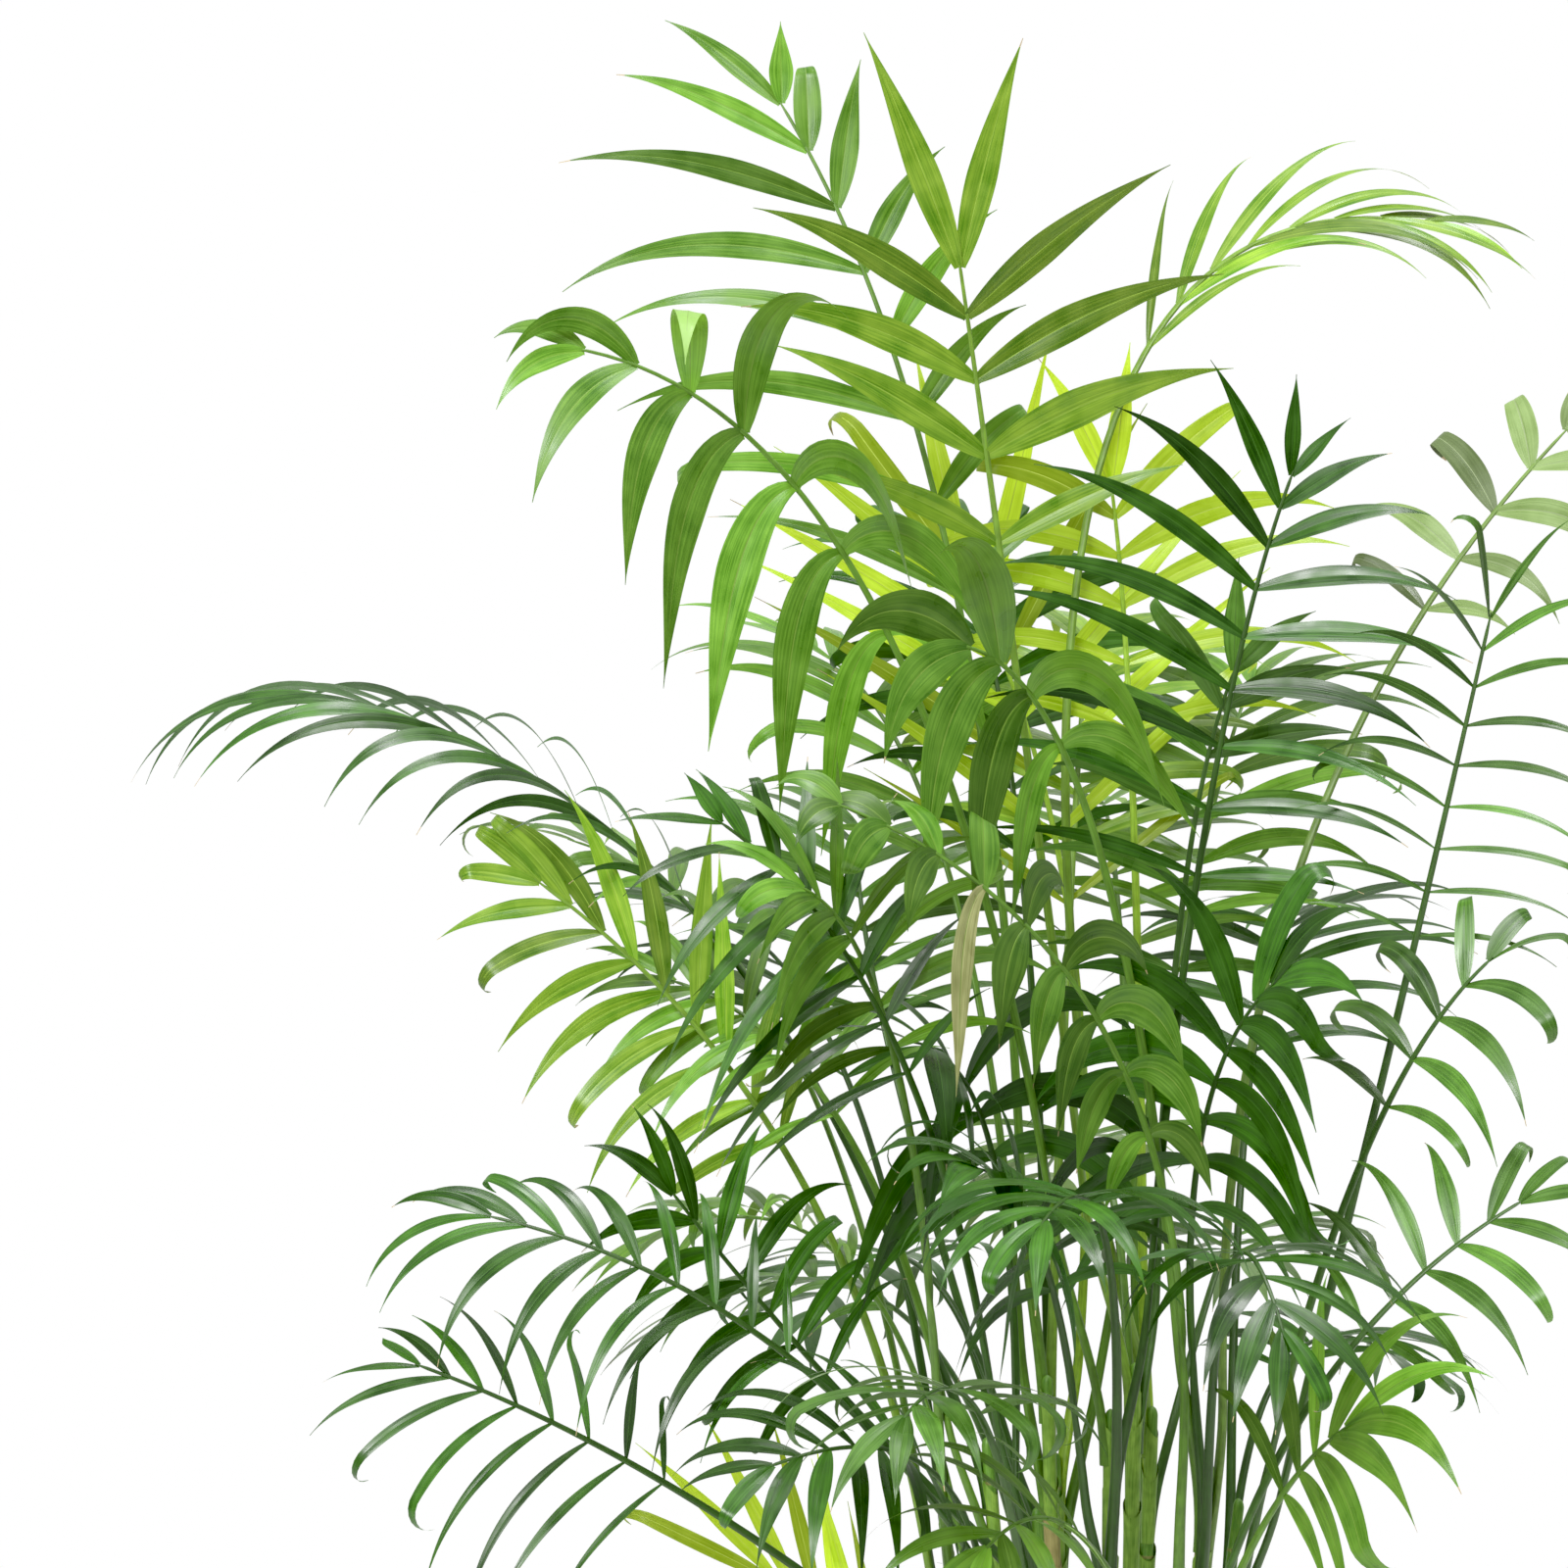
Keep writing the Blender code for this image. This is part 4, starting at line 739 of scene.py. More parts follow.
# Leaf colours, by the tone of the frond: upper face with its darker and lighter streak, lower
# face, midrib, and how much light comes through. Each blade takes one of three shades.
# stem: the green of petiole and rib, partly its own colour and partly darkened as painted shade so that the
# petioles of the lower crown look shaded
leafTones = {
    # dark: the deep green of these fronds, partly their own colour and partly darkened further as painted shade
    # for the shadow inside the crown
    "dark": dict(low="#15330a", high="#386218", under="#446c34", vein="#3c6420", glow="#487812",
                 through=0.11, stem="#2e4c17"),
    "blue": dict(low="#264816", high="#537b32", under="#5d7a48", vein="#567a34", glow="#668628",
                 through=0.15, stem="#3e5c26"),
    "mid": dict(low="#305c14", high="#668f34", under="#6f8f46", vein="#6c8b34", glow="#7ca22e",
                through=0.20, stem="#517426"),
    "fresh": dict(low="#3e7018", high="#84a436", under="#7e9648", vein="#8aa83e", glow="#8ea634",
                  through=0.23, stem="#66862e"),
    "bright": dict(low="#84a61e", high="#b4d044", under="#b4cc60", vein="#bcd05c", glow="#c4de3c",
                   through=0.42, stem="#86a834"),
    "pale": dict(low="#5a6e3e", high="#758958", under="#7c8a62", vein="#829068", glow="#748642",
                 through=0.17, stem="#627c3a"),
}
shades = (0.82, 1.0, 1.18)
leafSkin = {
    "veinSpacing": 1.2,      # mm between parallel veins, drawn coarser than life so that they show
    "veinLength": 70.0,      # mm that a streak runs on
    "mottle": 24.0,          # mm across a soft patch
    "roughness": (0.24, 0.46),
    "relief": 0.17,          # mm between a vein and the blade beside it
}


def leafFinish(name, low, high, under, glow, through):
    # living leaf with a grown wax layer: satin shine in long streaks, light shows through it
    material, tree = newFinish(name)
    place = add(tree, "ShaderNodeUVMap", uv_map="blade")
    scale = (1000.0 / leafSkin["veinSpacing"], 1000.0 / leafSkin["veinLength"], 1.0)
    stretched = add(tree, "ShaderNodeMapping", {"Vector": place.outputs[0], "Scale": scale})
    veins = add(tree, "ShaderNodeTexNoise",
                {"Vector": stretched.outputs[0], "Scale": 1.0, "Detail": 2.0, "Roughness": 0.6})
    patches = add(tree, "ShaderNodeTexNoise",
                  {"Vector": place.outputs[0], "Scale": 1000.0 / leafSkin["mottle"], "Detail": 2.0})
    streak = add(tree, "ShaderNodeValToRGB", {"Fac": veins.outputs[0]},
                 [(0.41, low), (0.59, high)])
    patch = add(tree, "ShaderNodeValToRGB", {"Fac": patches.outputs[0]},
                [(0.35, low), (0.65, high)])
    upper = add(tree, "ShaderNodeMix", {0: 0.5, 6: streak.outputs[0], 7: patch.outputs[0]},
                data_type="RGBA")
    side = add(tree, "ShaderNodeNewGeometry")
    both = add(tree, "ShaderNodeMix", {0: side.outputs["Backfacing"], 6: upper.outputs[2],
                                       7: linear(under)}, data_type="RGBA")
    relief = add(tree, "ShaderNodeBump", {"Height": veins.outputs[0], "Strength": 0.8,
                                          "Distance": leafSkin["relief"] / 1000.0})
    smooth, dull = leafSkin["roughness"]
    bloom = add(tree, "ShaderNodeMapRange", {0: patches.outputs[0], 1: 0.35, 2: 0.65,
                                             3: smooth, 4: dull})
    wax = add(tree, "ShaderNodeBsdfPrincipled",
              {"Base Color": both.outputs[2], "Roughness": bloom.outputs[0], "IOR": 1.45,
               "Normal": relief.outputs[0]})
    light = add(tree, "ShaderNodeBsdfTranslucent", {"Color": linear(glow)})
    blend = add(tree, "ShaderNodeMixShader", {0: through, 1: wax.outputs[0], 2: light.outputs[0]})
    add(tree, "ShaderNodeOutputMaterial", {"Surface": blend.outputs[0]})
    return material


def grainFinish(name, low, high, grain, roughness, relief, stretch=(1.0, 1.0, 1.0), metres="blade"):
    # a surface whose grain is given in mm, in real metres of its own map or of the object
    material, tree = newFinish(name)
    if metres:
        place = add(tree, "ShaderNodeUVMap", uv_map=metres).outputs[0]
    else:
        place = add(tree, "ShaderNodeTexCoord").outputs["Object"]
    stretched = add(tree, "ShaderNodeMapping", {"Vector": place, "Scale": stretch})
    fine = add(tree, "ShaderNodeTexNoise",
               {"Vector": stretched.outputs[0], "Scale": 1000.0 / grain, "Detail": 3.0})
    broad = add(tree, "ShaderNodeTexNoise",
                {"Vector": place, "Scale": 1000.0 / (grain * 9.0), "Detail": 2.0})
    colour = add(tree, "ShaderNodeValToRGB", {"Fac": fine.outputs[0]}, [(0.36, low), (0.64, high)])
    drift = add(tree, "ShaderNodeValToRGB", {"Fac": broad.outputs[0]}, [(0.35, low), (0.65, high)])
    mixed = add(tree, "ShaderNodeMix", {0: 0.4, 6: colour.outputs[0], 7: drift.outputs[0]},
                data_type="RGBA")
    bump = add(tree, "ShaderNodeBump", {"Height": fine.outputs[0], "Strength": 0.7,
                                        "Distance": relief / 1000.0})
    sheen = add(tree, "ShaderNodeMapRange", {0: broad.outputs[0], 3: roughness[0], 4: roughness[1]})
    shader = add(tree, "ShaderNodeBsdfPrincipled",
                 {"Base Color": mixed.outputs[2], "Roughness": sheen.outputs[0], "IOR": 1.46,
                  "Normal": bump.outputs[0]})
    add(tree, "ShaderNodeOutputMaterial", {"Surface": shader.outputs[0]})
    return material


def shaded(hexCode, gain):
    # the same colour, darker or lighter
    values = [min(255, round(int(hexCode[k:k + 2], 16) * gain)) for k in (1, 3, 5)]
    return "#%02x%02x%02x" % tuple(values)


blade = {
    "across": (-1.0, -0.74, -0.42, -0.03, 0.0, 0.03, 0.42, 0.74, 1.0),
    "joint": 0.30, "widestAt": 0.38, "rise": 0.85,
    "taper": (1.45, 1.30), "bluntTaper": (2.4, 0.95),
    "fold": 0.24, "foldLost": 0.7, "arch": 0.10, "twist": 0.55, "sway": 0.030,
    "ribTo": 0.80, "dry": 0.45, "dryTip": (0.92, 0.975), "leastHalf": 0.00022, "shift": 7.0,
}
bladeSlots = {"shade": (0, 1, 2), "midrib": 3, "dryTip": 4, "faded": 5}


def bladeWidth(share, blunt):
    # how wide a leaflet is along its length, as a share of its widest place
    if share < blade["widestAt"]:
        risen = math.sin(math.pi * 0.5 * (share / blade["widestAt"]) ** blade["rise"])
        return blade["joint"] + (1.0 - blade["joint"]) * risen
    beyond = (share - blade["widestAt"]) / (1.0 - blade["widestAt"])
    power, outer = blade["bluntTaper"] if blunt else blade["taper"]
    return (1.0 - beyond ** power) ** outer


def bladeGrid(leaf, luck):
    centres, ways, uppers = leaf["path"]
    rows = len(centres) + 1
    twist = luck.uniform(-blade["twist"], blade["twist"])
    sway = luck.uniform(-blade["sway"], blade["sway"]) * leaf["length"]
    dryFrom = luck.uniform(*blade["dryTip"]) if luck.random() < blade["dry"] else 1.0
    shade = bladeSlots["faded"] if leaf["dried"] else bladeSlots["shade"][luck.choice((0, 1, 1, 2))]
    blunt = leaf["curled"]
    points = np.zeros((rows, len(blade["across"]), 3))
    slots = np.full((rows - 1, len(blade["across"]) - 1), shade)
    for row in range(rows):
        k = max(row - 1, 0)
        share = k / (len(centres) - 1)
        centre = centres[k] - ways[0] * leaf["radius"] if row == 0 else centres[k]
        across = ways[k].cross(uppers[k]).normalized()
        turn = twist * share * share
        side = across * math.cos(turn) + uppers[k] * math.sin(turn)
        up = uppers[k] * math.cos(turn) - across * math.sin(turn)
        half = max(leaf["width"] * 0.5 * bladeWidth(share, blunt), blade["leastHalf"])
        fold = blade["fold"] * (1.0 - blade["foldLost"] * share)
        for column, v in enumerate(blade["across"]):
            height = half * (fold * abs(v) - blade["arch"] * v * v)
            point = centre + side * (v * half + sway * share * share) + up * height
            points[row, column] = point
        if row < rows - 1:
            if share < blade["ribTo"]:
                slots[row, 3:5] = bladeSlots["midrib"]
            if share >= dryFrom:
                slots[row, :] = bladeSlots["dryTip"]
    return {
        "points": points, "slots": slots, "length": leaf["length"], "width": leaf["width"],
        "across": (np.array(blade["across"]) + 1.0) * 0.5,
        "along": np.arange(rows) / (rows - 1), "shift": luck.uniform(0.0, blade["shift"]),
    }


def makeLeaves():
    luck = random.Random(7)
    dryTip = grainFinish("dead_leaf_tip_dried", "#8a7a58", "#b7a782", 0.8, (0.7, 0.85), 0.05)
    fadedBlade = leafFinish("leaf_dried_on_the_plant", "#6f7440", "#aeb07c", "#9c9e70", "#b4b46a", 0.15)
    for tone, colours in leafTones.items():
        grown = [leaf for plan in palm if plan["tone"] == tone for leaf in plan["leaves"]]
        grids = layMaps([bladeGrid(leaf, luck) for leaf in grown])
        finishes = []
        for gain, word in zip(shades, ("deep", "plain", "light")):
            finishes.append(leafFinish(
                "waxy_leaf_%s_%s" % (tone, word), shaded(colours["low"], gain),
                shaded(colours["high"], gain), shaded(colours["under"], gain),
                shaded(colours["glow"], gain), colours["through"]))
        finishes.append(grainFinish("leaf_midrib_%s" % tone, shaded(colours["vein"], 0.9),
                                    colours["vein"], 1.2, (0.38, 0.5), 0.04, (1.0, 0.1, 1.0)))
        finishes += [dryTip, fadedBlade]
        piece = makePiece("leaves_" + tone, grids, finishes)
        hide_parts(*[plan["name"] for plan in palm if plan["tone"] == tone])
        print("leaves,", tone, len(grids), "leaflets,", len(piece.data.polygons) * 2, "triangles")


stem = {
    "sides": 10, "rootRows": 12, "rows": 40, "hug": 0.016, "sink": 0.0015, "joined": 0.10,
    "flatTop": 0.62, "groove": 0.22, "swell": 0.30, "tipShare": 0.35, "turnOver": 0.35,
}


def stemGrid(plan, luck):
    # petiole and rib in one: out of its sheath on the cane, a shallow groove along its upper side
    shape = plan["rib"]
    curve = shape["curve"]
    low = shape["foot"] - shape["outward"] * stem["sink"] - shape["axis"] * stem["hug"]
    high = curveAt(curve, stem["joined"])
    reach = (high - low).length / 3.0
    second = low + shape["axis"] * reach
    third = high - slopeAt(curve, stem["joined"]) * reach
    centres = []
    shares = []
    for k in range(stem["rootRows"]):
        t = k / stem["rootRows"]
        r = 1.0 - t
        centres.append(low * r ** 3 + second * 3.0 * t * r * r + third * 3.0 * t * t * r + high * t ** 3)
        shares.append(stem["joined"] * t)
    for k in range(stem["rows"] + 1):
        share = stem["joined"] + (1.0 - stem["joined"]) * k / stem["rows"]
        centres.append(curveAt(curve, share))
        shares.append(share)
    rows = len(centres)
    points = np.zeros((rows, stem["sides"], 3))
    length = 0.0
    for row, (centre, share) in enumerate(zip(centres, shares)):
        ahead = centres[min(row + 1, rows - 1)]
        behind = centres[max(row - 1, 0)]
        slope = (ahead - behind).normalized()
        turned = min(1.0, share / stem["turnOver"])
        facing = plan["face"].normalized() * turned - shape["outward"] * (1.0 - turned)
        upper = (facing - slope * facing.dot(slope)).normalized()
        side = slope.cross(upper)
        radius = ribRadius(plan, share)
        radius *= 1.0 + stem["swell"] * max(0.0, 1.0 - share / stem["joined"])
        if row == rows - 1:
            radius *= stem["tipShare"]
        for k in range(stem["sides"]):
            angle = 2.0 * math.pi * k / stem["sides"]
            rise = math.sin(angle)
            if rise > 0.0:
                rise = stem["flatTop"] * rise - stem["groove"] * rise ** 6
            points[row, k] = centre + side * (math.cos(angle) * radius) + upper * (rise * radius)
        length += (ahead - centre).length
    return {
        "points": points[:, ::-1], "slots": np.zeros((1, 1), int), "length": length, "closed": True,
        "width": 2.0 * math.pi * rib["bladeRadius"], "across": np.linspace(0.0, 1.0, stem["sides"] + 1),
        "along": np.arange(rows) / (rows - 1), "shift": luck.uniform(0.0, 7.0),
    }


def makeStems():
    luck = random.Random(8)
    for tone, colours in leafTones.items():
        own = [plan for plan in palm if plan["tone"] == tone]
        grids = layMaps([stemGrid(plan, luck) for plan in own])
        # the petiole's green, darkened as painted shade for the lower crown, between a darker and a lighter grain
        finish = grainFinish("waxy_petiole_%s" % tone, shaded(colours["stem"], 0.86),
                             shaded(colours["stem"], 1.12), 1.1, (0.34, 0.48), 0.03, (1.0, 0.06, 1.0))
        piece = makePiece("petioles_" + tone, grids, [finish])
        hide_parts(*[plan["name"] for plan in own])
    print("petioles and ribs,", len(palm))


# Canes: green and smooth between the ring scars that fallen leaves leave behind
canes = {
    "sides": 18, "scarEvery": (0.013, 0.024), "scarHalf": 0.0009, "bulge": 0.055, "waist": 0.025,
    "tipRows": 5,
}
sheath = {
    "sides": 18, "rows": 9, "length": (0.040, 0.065), "above": 0.010, "slant": 0.013,
    "wall": 0.0005, "layer": 0.00025, "flare": 0.0016, "dry": 0.10,
}


def caneGrid(index, luck):
    shape = caneShape(index)
    foot = shape["foot"].z
    top = shape["top"].z
    rings = [(foot, 1.0 + canes["bulge"], 0)]
    height = foot + luck.uniform(*canes["scarEvery"])
    while height < top - canes["scarEvery"][0]:
        half = canes["scarHalf"]
        middle = (rings[-1][0] + height) * 0.5
        rings.append((middle, 1.0 - canes["waist"], 0))
        rings.append((height - 2.2 * half, 1.0, 0))
        rings.append((height - half, 1.0 + canes["bulge"], 1))
        rings.append((height + half, 1.0 + canes["bulge"], 0))
        rings.append((height + 2.2 * half, 1.0 - canes["waist"] * 0.5, 0))
        height += luck.uniform(*canes["scarEvery"])
    rings.append((top, 1.0, 0))
    points = []
    for ringHeight, gain, _ in rings:
        radius = caneRadius(shape, ringHeight) * gain
        points.append((caneCentre(shape, ringHeight), radius))
    lift = shape["top"] + Vector((0.0, 0.0, cane["tipHeight"]))
    for k in range(1, canes["tipRows"] + 1):
        share = k / canes["tipRows"]
        centre = shape["top"].lerp(lift, share)
        points.append((centre, cane["topRadius"] * math.sqrt(1.0 - 0.98 * share * share)))
    grid = np.zeros((len(points), canes["sides"], 3))
    for row, (centre, radius) in enumerate(points):
        for k in range(canes["sides"]):
            angle = shape["turn"] + 2.0 * math.pi * k / canes["sides"]
            grid[row, k] = centre + Vector((radius * math.cos(angle), radius * math.sin(angle), 0.0))
    slots = np.zeros((len(points) - 1, 1), int)
    for row, (_, _, slot) in enumerate(rings[:-1]):
        slots[row, 0] = slot
    heights = np.array([centre.z for centre, _ in points])
    return {
        "points": grid, "slots": slots, "length": heights[-1] - heights[0], "closed": True,
        "width": 2.0 * math.pi * cane["lowRadius"], "shift": luck.uniform(0.0, 7.0),
        "across": np.linspace(0.0, 1.0, canes["sides"] + 1),
        "along": (heights - heights[0]) / (heights[-1] - heights[0]),
    }


def sheathGrid(plan, order, luck):
    # the foot of a petiole wraps its cane as a thin sleeve, its upper edge dipping lower on the side away from the
    # petiole
    shape = caneShape(plan["cane"])
    height = plan["rib"]["height"]
    outward = plan["rib"]["outward"]
    facing = math.atan2(outward.y, outward.x)
    length = luck.uniform(*sheath["length"])
    foot = max(height - length, soilTop + cane["flareHeight"])
    dry = 1 if luck.random() < sheath["dry"] else 0
    points = np.zeros((sheath["rows"], sheath["sides"], 3))
    for row in range(sheath["rows"]):
        share = row / (sheath["rows"] - 1)
        for k in range(sheath["sides"]):
            angle = 2.0 * math.pi * k / sheath["sides"]
            away = (1.0 - math.cos(angle - facing)) * 0.5
            level = foot + (height + sheath["above"] - foot) * share
            level -= sheath["slant"] * away * share * share
            radius = caneRadius(shape, level) + sheath["wall"] + sheath["layer"] * order
            radius += sheath["flare"] * share ** 4 * (1.0 - away) - sheath["wall"] * (1.0 - share) ** 8
            points[row, k] = caneCentre(shape, level) + Vector(
                (radius * math.cos(angle), radius * math.sin(angle), 0.0))
    return {
        "points": points, "slots": np.full((1, 1), dry), "length": length, "closed": True,
        "width": 2.0 * math.pi * cane["lowRadius"], "shift": luck.uniform(0.0, 7.0),
        "across": np.linspace(0.0, 1.0, sheath["sides"] + 1),
        "along": np.linspace(0.0, 1.0, sheath["rows"]),
    }


def makeCanes():
    luck = random.Random(9)
    grids = layMaps([caneGrid(index, luck) for index in range(cane["count"])])
    skin = grainFinish("green_cane_waxy_bark", "#3c661c", "#688f34", 1.3, (0.40, 0.55), 0.12,
                       (1.0, 0.12, 1.0))
    scar = grainFinish("cane_ring_scar_corky", "#56602c", "#8a8850", 0.7, (0.75, 0.9), 0.15)
    piece = makePiece("canes", grids, [skin, scar])
    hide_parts(*["cane_%02d" % (k + 1) for k in range(cane["count"])])
    sleeves = []
    for index in range(cane["count"]):
        own = [plan for plan in palm if plan["cane"] == index]
        own.sort(key=lambda plan: -plan["rib"]["height"])
        sleeves += [sheathGrid(plan, order, luck) for order, plan in enumerate(own)]
    green = grainFinish("leaf_sheath_living", "#567c26", "#86a844", 1.0, (0.45, 0.6), 0.10,
                        (1.0, 0.05, 1.0))
    paper = grainFinish("leaf_sheath_dried_papery", "#7d7646", "#a39a64", 1.0, (0.7, 0.85), 0.15,
                        (1.0, 0.05, 1.0))
    sleevePiece = makePiece("leaf_sheaths", layMaps(sleeves), [green, paper])
    print("canes,", len(grids), "with", len(sleeves), "sheaths")


potLook = {"sides": 128, "rimRound": 0.0022, "roundSteps": 6, "underSoil": 0.040}


def potProfile():
    # radius and height from the middle of the underside, up the wall, over the rim and down inside
    bandFoot = pot["height"] - pot["bandHeight"]
    bandRadius = pot["rimRadius"] - pot["bandDraft"]
    innerTop = outerRadius(pot["height"]) - pot["wall"]
    edge = pot["footEdge"]
    found = [(0.0005, 0.0), (0.03, 0.0), (0.06, 0.0)]
    steps = potLook["roundSteps"]
    for k in range(steps + 1):
        angle = math.pi * 0.5 * k / steps
        found.append((pot["footRadius"] - edge + edge * math.sin(angle), edge - edge * math.cos(angle)))
    for k in range(1, 12):
        height = edge + (bandFoot - pot["rimEdge"] * 2.0 - edge) * k / 11
        found.append((outerRadius(height), height))
    lip = pot["rimEdge"]
    found += [(outerRadius(bandFoot) + 0.0006, bandFoot - lip * 0.9), (bandRadius - lip, bandFoot - lip * 0.5)]
    for k in range(steps + 1):
        angle = math.pi * 0.5 * k / steps
        found.append((bandRadius - lip + lip * math.sin(angle), bandFoot + lip * 0.5 - lip * math.cos(angle)))
    rounding = potLook["rimRound"]
    found.append((pot["rimRadius"] - 0.0004, pot["height"] - rounding * 1.4))
    for k in range(steps * 2 + 1):
        angle = math.pi * k / (steps * 2)
        middle = (pot["rimRadius"] + innerTop) * 0.5
        half = (pot["rimRadius"] - innerTop) * 0.5
        found.append((middle + half * math.cos(angle), pot["height"] - rounding + rounding * math.sin(angle)))
    for k in range(1, 6):
        height = pot["height"] - rounding - k / 5 * potLook["underSoil"]
        found.append((outerRadius(height) - pot["wall"], height))
    return found


def makePot():
    profile = potProfile()
    sides = potLook["sides"]
    angles = 2.0 * np.pi * np.arange(sides) / sides
    points = np.stack([np.outer([r for r, _ in profile], np.cos(angles)),
                       np.outer([r for r, _ in profile], np.sin(angles)),
                       np.repeat(np.array([z for _, z in profile])[:, None], sides, axis=1)], -1)
    steps = [math.dist(a, b) for a, b in zip(profile, profile[1:])]
    along = np.concatenate([[0.0], np.cumsum(steps)]) / sum(steps)
    grid = {
        "points": points, "slots": np.zeros((1, 1), int), "length": sum(steps), "closed": True,
        "width": 2.0 * math.pi * pot["rimRadius"], "shift": 0.0,
        "across": np.linspace(0.0, 1.0, sides + 1), "along": along,
    }
    # Polypropylene, injection moulded with a fine spark finish: dull, with a soft even grain
    plastic = grainFinish("polypropylene_moulded_matt", "#2f3133", "#3c3f41", 1.4, (0.48, 0.62), 0.05,
                          metres="")
    piece = makePiece("pot_shell", layMaps([grid]), [plastic])
    piece.data.set_sharp_from_angle(angle=math.radians(50.0))
    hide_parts("pot")
    print("pot,", len(piece.data.polygons) * 2, "triangles")


soil = {
    "rings": 40, "sides": 120, "bump": 0.0022, "bumpSize": 0.011, "mound": 0.0015,
    "crumbs": 3000, "crumbRadius": (0.0006, 0.0027), "perlite": 130, "perliteRadius": (0.0012, 0.0026),
    "bark": 160, "barkRadius": (0.0012, 0.0026), "sunk": 0.25,
}


def soilHeight(x, y):
    place = Vector((x, y, 0.0))
    rough = noise.noise(place / soil["bumpSize"]) + 0.5 * noise.noise(place * 2.3 / soil["bumpSize"])
    return soilTop - soil["bump"] * 0.6 + soil["bump"] * rough


def makeCrumbs(name, count, sizes, finish, flat, longer, luck):
    # loose bits on the soil, each an uneven little lump of twenty faces
    lump = bmesh.new()
    bmesh.ops.create_icosphere(lump, subdivisions=1, radius=1.0)
    base = [vertex.co.copy() for vertex in lump.verts]
    triangles = [tuple(vertex.index for vertex in face.verts) for face in lump.faces]
    lump.free()
    points = []
    faces = []
    inside = outerRadius(soilTop) - pot["wall"] - sizes[1] * longer
    canesAt = [caneShape(index)["foot"] for index in range(cane["count"])]
    while len(faces) < count * len(triangles):
        reach = inside * math.sqrt(luck.random())
        turn = luck.uniform(0.0, 2.0 * math.pi)
        x, y = reach * math.cos(turn), reach * math.sin(turn)
        radius = sizes[0] + (sizes[1] - sizes[0]) * luck.random() ** 2
        if min(math.hypot(x - foot.x, y - foot.y) for foot in canesAt) < cane["footRadius"] + radius:
            continue
        middle = Vector((x, y, soilHeight(x, y) + radius * flat * soil["sunk"]))
        tilt = Quaternion((luck.uniform(-1, 1), luck.uniform(-1, 1), luck.uniform(-4, 4)),
                          luck.uniform(0.0, 3.0))
        tilt.normalize()
        first = len(points)
        for corner in base:
            uneven = corner * radius * luck.uniform(0.75, 1.15)
            uneven = Vector((uneven.x * longer, uneven.y, uneven.z * flat))
            points.append(middle + tilt @ uneven)
        faces += [tuple(first + index for index in triangle) for triangle in triangles]
    mesh = bpy.data.meshes.new(name)
    mesh.from_pydata([tuple(point) for point in points], [], faces)
    mesh.materials.append(finish)
    piece = bpy.data.objects.new(name, mesh)
    bpy.context.collection.objects.link(piece)
    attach(piece, "root")


def makeSoil():
    luck = random.Random(10)
    outer = outerRadius(soilTop) - pot["wall"] + 0.0002
    rows = soil["rings"]
    sides = soil["sides"]
    points = np.zeros((rows, sides, 3))
    for row in range(rows):
        radius = 0.0006 + (outer - 0.0006) * row / (rows - 1)
        for k in range(sides):
            angle = -2.0 * math.pi * k / sides
            x, y = radius * math.cos(angle), radius * math.sin(angle)
            points[row, k] = (x, y, soilHeight(x, y))
    grid = {
        "points": points, "slots": np.zeros((1, 1), int), "length": outer, "closed": True,
        "width": outer, "shift": 0.0, "across": np.linspace(0.0, 1.0, sides + 1),
        "along": np.linspace(0.0, 1.0, rows),
    }
    earth = grainFinish("peat_soil_damp", "#1f150e", "#3d2b1d", 2.2, (0.85, 0.98), 1.2, metres="")
    piece = makePiece("soil_surface", layMaps([grid]), [earth])
    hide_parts("soil")
    peat = grainFinish("peat_crumbs_loose", "#24180f", "#4b3524", 1.5, (0.85, 0.98), 0.6, metres="")
    white = grainFinish("perlite_expanded", "#c9c6bd", "#efede6", 0.8, (0.8, 0.95), 0.3, metres="")
    bark = grainFinish("composted_bark_chips", "#3b2416", "#6b4a30", 1.2, (0.75, 0.92), 0.5, metres="")
    makeCrumbs("soil_crumbs", soil["crumbs"], soil["crumbRadius"], peat, 0.8, 1.1, luck)
    makeCrumbs("soil_perlite", soil["perlite"], soil["perliteRadius"], white, 0.85, 1.0, luck)
    makeCrumbs("soil_bark", soil["bark"], soil["barkRadius"], bark, 0.45, 2.2, luck)
    print("soil,", soil["crumbs"] + soil["perlite"] + soil["bark"], "loose bits")


makeLeaves()
makeStems()
makeCanes()
makePot()
makeSoil()

studio = {
    "air": "#ffffff", "dimmest": 0.14, "brightest": 0.95, "brightSide": (0.0, 0.62, 0.78),
    "floorRadius": 1.6, "floorSides": 160, "blackPoint": 0.010,
    "skyFrom": -0.7, "skyTo": 0.8,
    "key": dict(place=(-1.3, -2.7, 2.7), size=1.5, watts=156.0),
    "top": dict(place=(0.6, -0.2, 3.4), size=1.2, watts=56.0),
    "lens": 112.5, "sensor": 36.0,
}


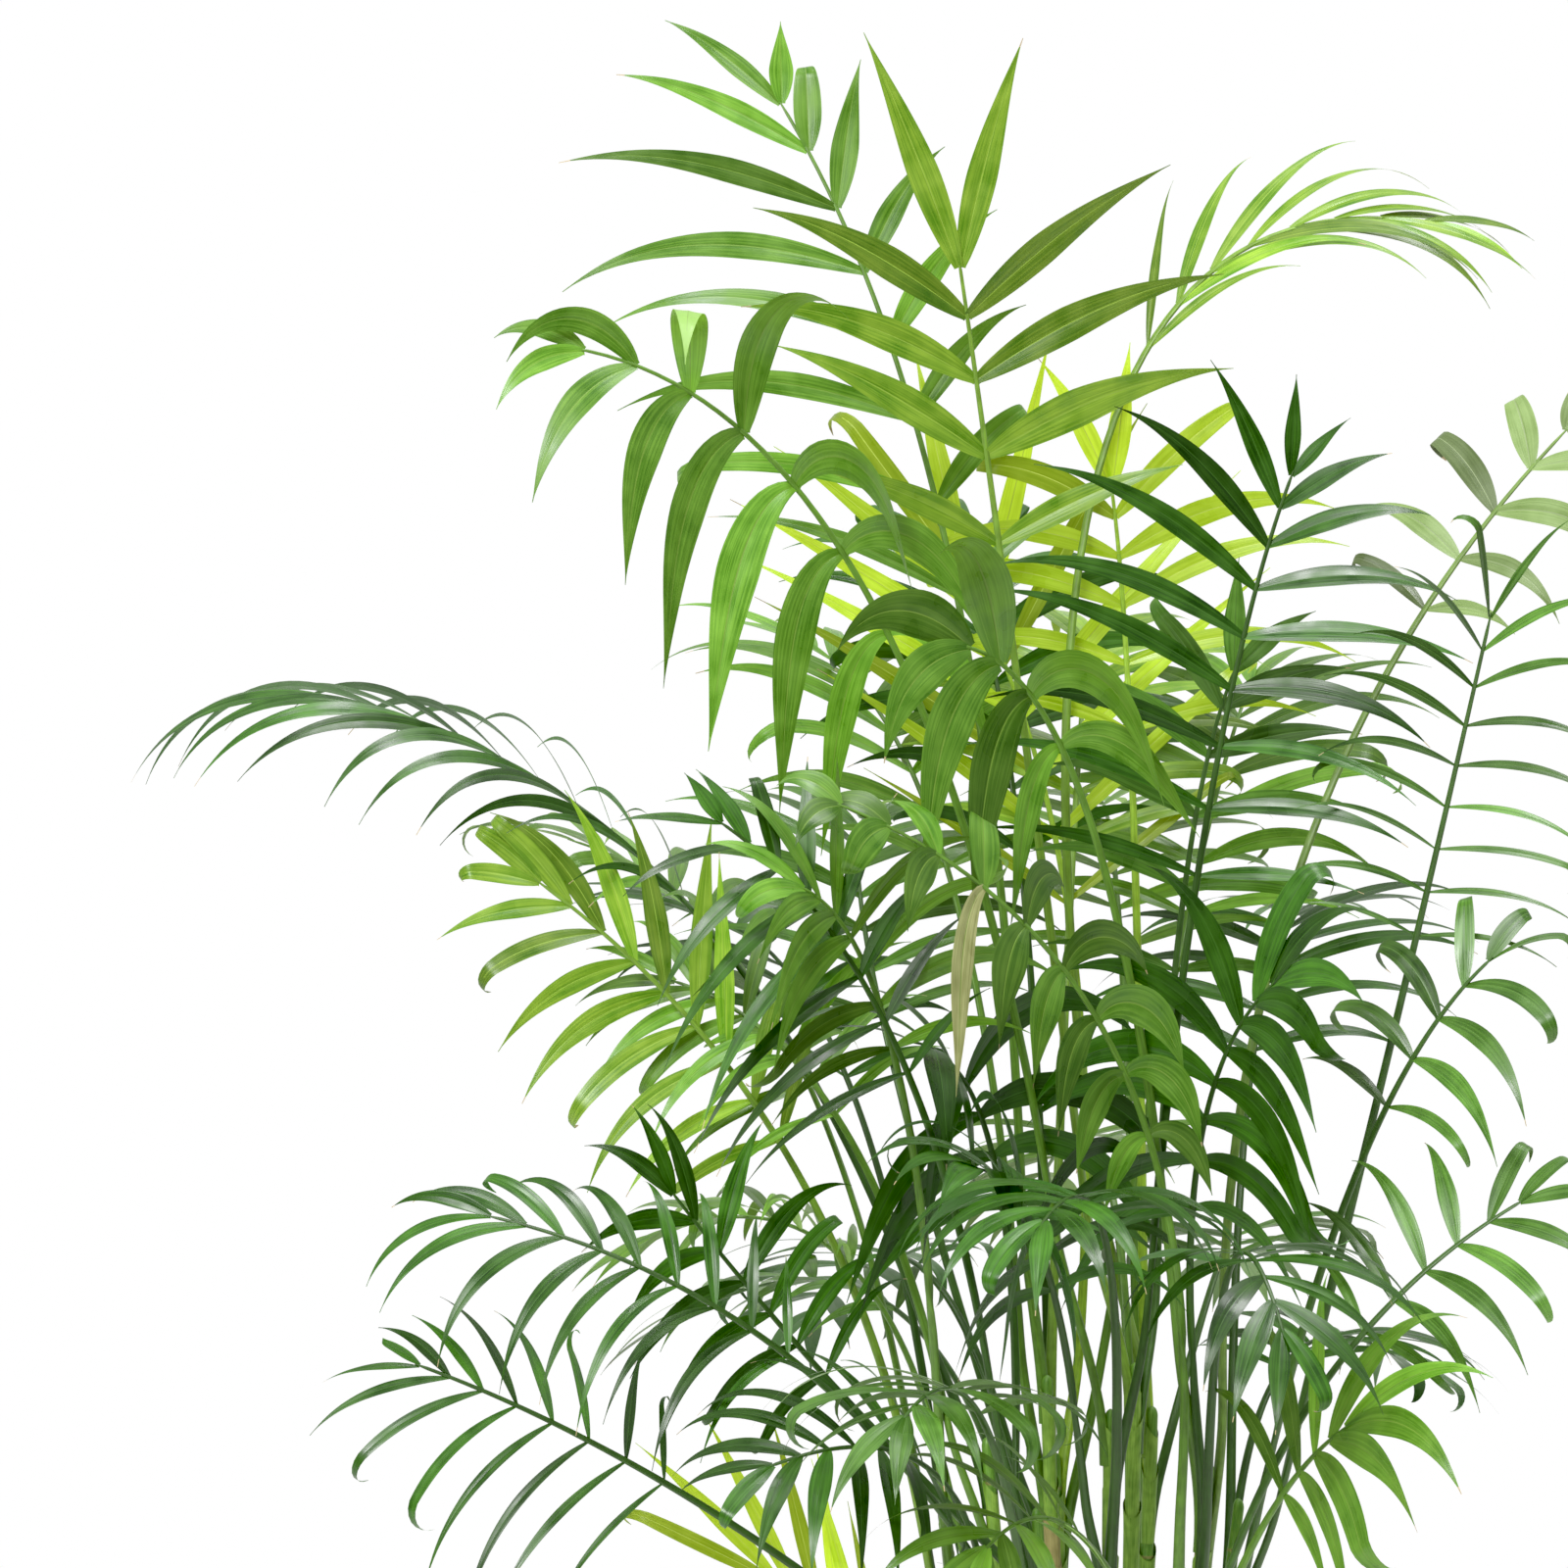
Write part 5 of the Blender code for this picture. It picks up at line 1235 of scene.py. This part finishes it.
def makeStudio():
    scene = bpy.context.scene
    world = bpy.data.worlds.new("studio_air")
    world.use_nodes = True
    world.node_tree.nodes.clear()
    tree = world.node_tree
    # a white wall on the far side and a dimmer room on the near one; both look white behind the palm
    way = add(tree, "ShaderNodeTexCoord")
    along = add(tree, "ShaderNodeVectorMath", {0: way.outputs["Generated"], 1: studio["brightSide"]},
                operation="DOT_PRODUCT")
    lit = add(tree, "ShaderNodeMapRange",
              {0: along.outputs["Value"], 1: studio["skyFrom"], 2: studio["skyTo"],
               3: studio["dimmest"], 4: studio["brightest"]})
    seen = add(tree, "ShaderNodeLightPath")
    strength = add(tree, "ShaderNodeMix", {0: seen.outputs["Is Camera Ray"], 2: lit.outputs[0], 3: 1.0})
    air = add(tree, "ShaderNodeBackground", {"Color": linear(studio["air"]),
                                             "Strength": strength.outputs[0]})
    add(tree, "ShaderNodeOutputWorld", {"Surface": air.outputs[0]})
    scene.world = world
    # a print's black point: the haze that white walls put over deep shadows is taken off
    scene.view_settings.view_transform = "Standard"
    scene.view_settings.use_curve_mapping = True
    scene.view_settings.curve_mapping.black_level = [studio["blackPoint"]] * 3
    scene.view_settings.curve_mapping.update()
    for name in ("key", "top"):
        row = studio[name]
        data = bpy.data.lights.new("soft_" + name, "AREA")
        data.shape = "DISK"
        data.size = row["size"]
        data.energy = row["watts"]
        lamp = bpy.data.objects.new("soft_" + name, data)
        lamp.location = row["place"]
        aim = Vector((-0.1, 0.0, 0.8)) - lamp.location
        lamp.rotation_euler = aim.to_track_quat("-Z", "Y").to_euler()
        bpy.context.collection.objects.link(lamp)
    mesh = bpy.data.meshes.new("studio_floor")
    rim = []
    for k in range(studio["floorSides"]):
        angle = 2.0 * math.pi * k / studio["floorSides"]
        rim.append((studio["floorRadius"] * math.cos(angle), studio["floorRadius"] * math.sin(angle), 0.0))
    mesh.from_pydata(rim, [], [tuple(range(len(rim)))])
    mesh.materials.append(grainFinish("studio_floor_painted", "#efefec", "#f6f6f4", 3.0, (0.6, 0.7),
                                      0.02, metres=""))
    floor = bpy.data.objects.new("studio_floor", mesh)
    bpy.context.collection.objects.link(floor)
    data = bpy.data.cameras.new("camera")
    data.sensor_width = studio["sensor"]
    data.lens = studio["lens"]
    camera = bpy.data.objects.new("camera", data)
    camera.location = eye
    camera.rotation_euler = (math.pi * 0.5, 0.0, 0.0)
    bpy.context.collection.objects.link(camera)
    scene.camera = camera
    print("studio and camera")


makeStudio()
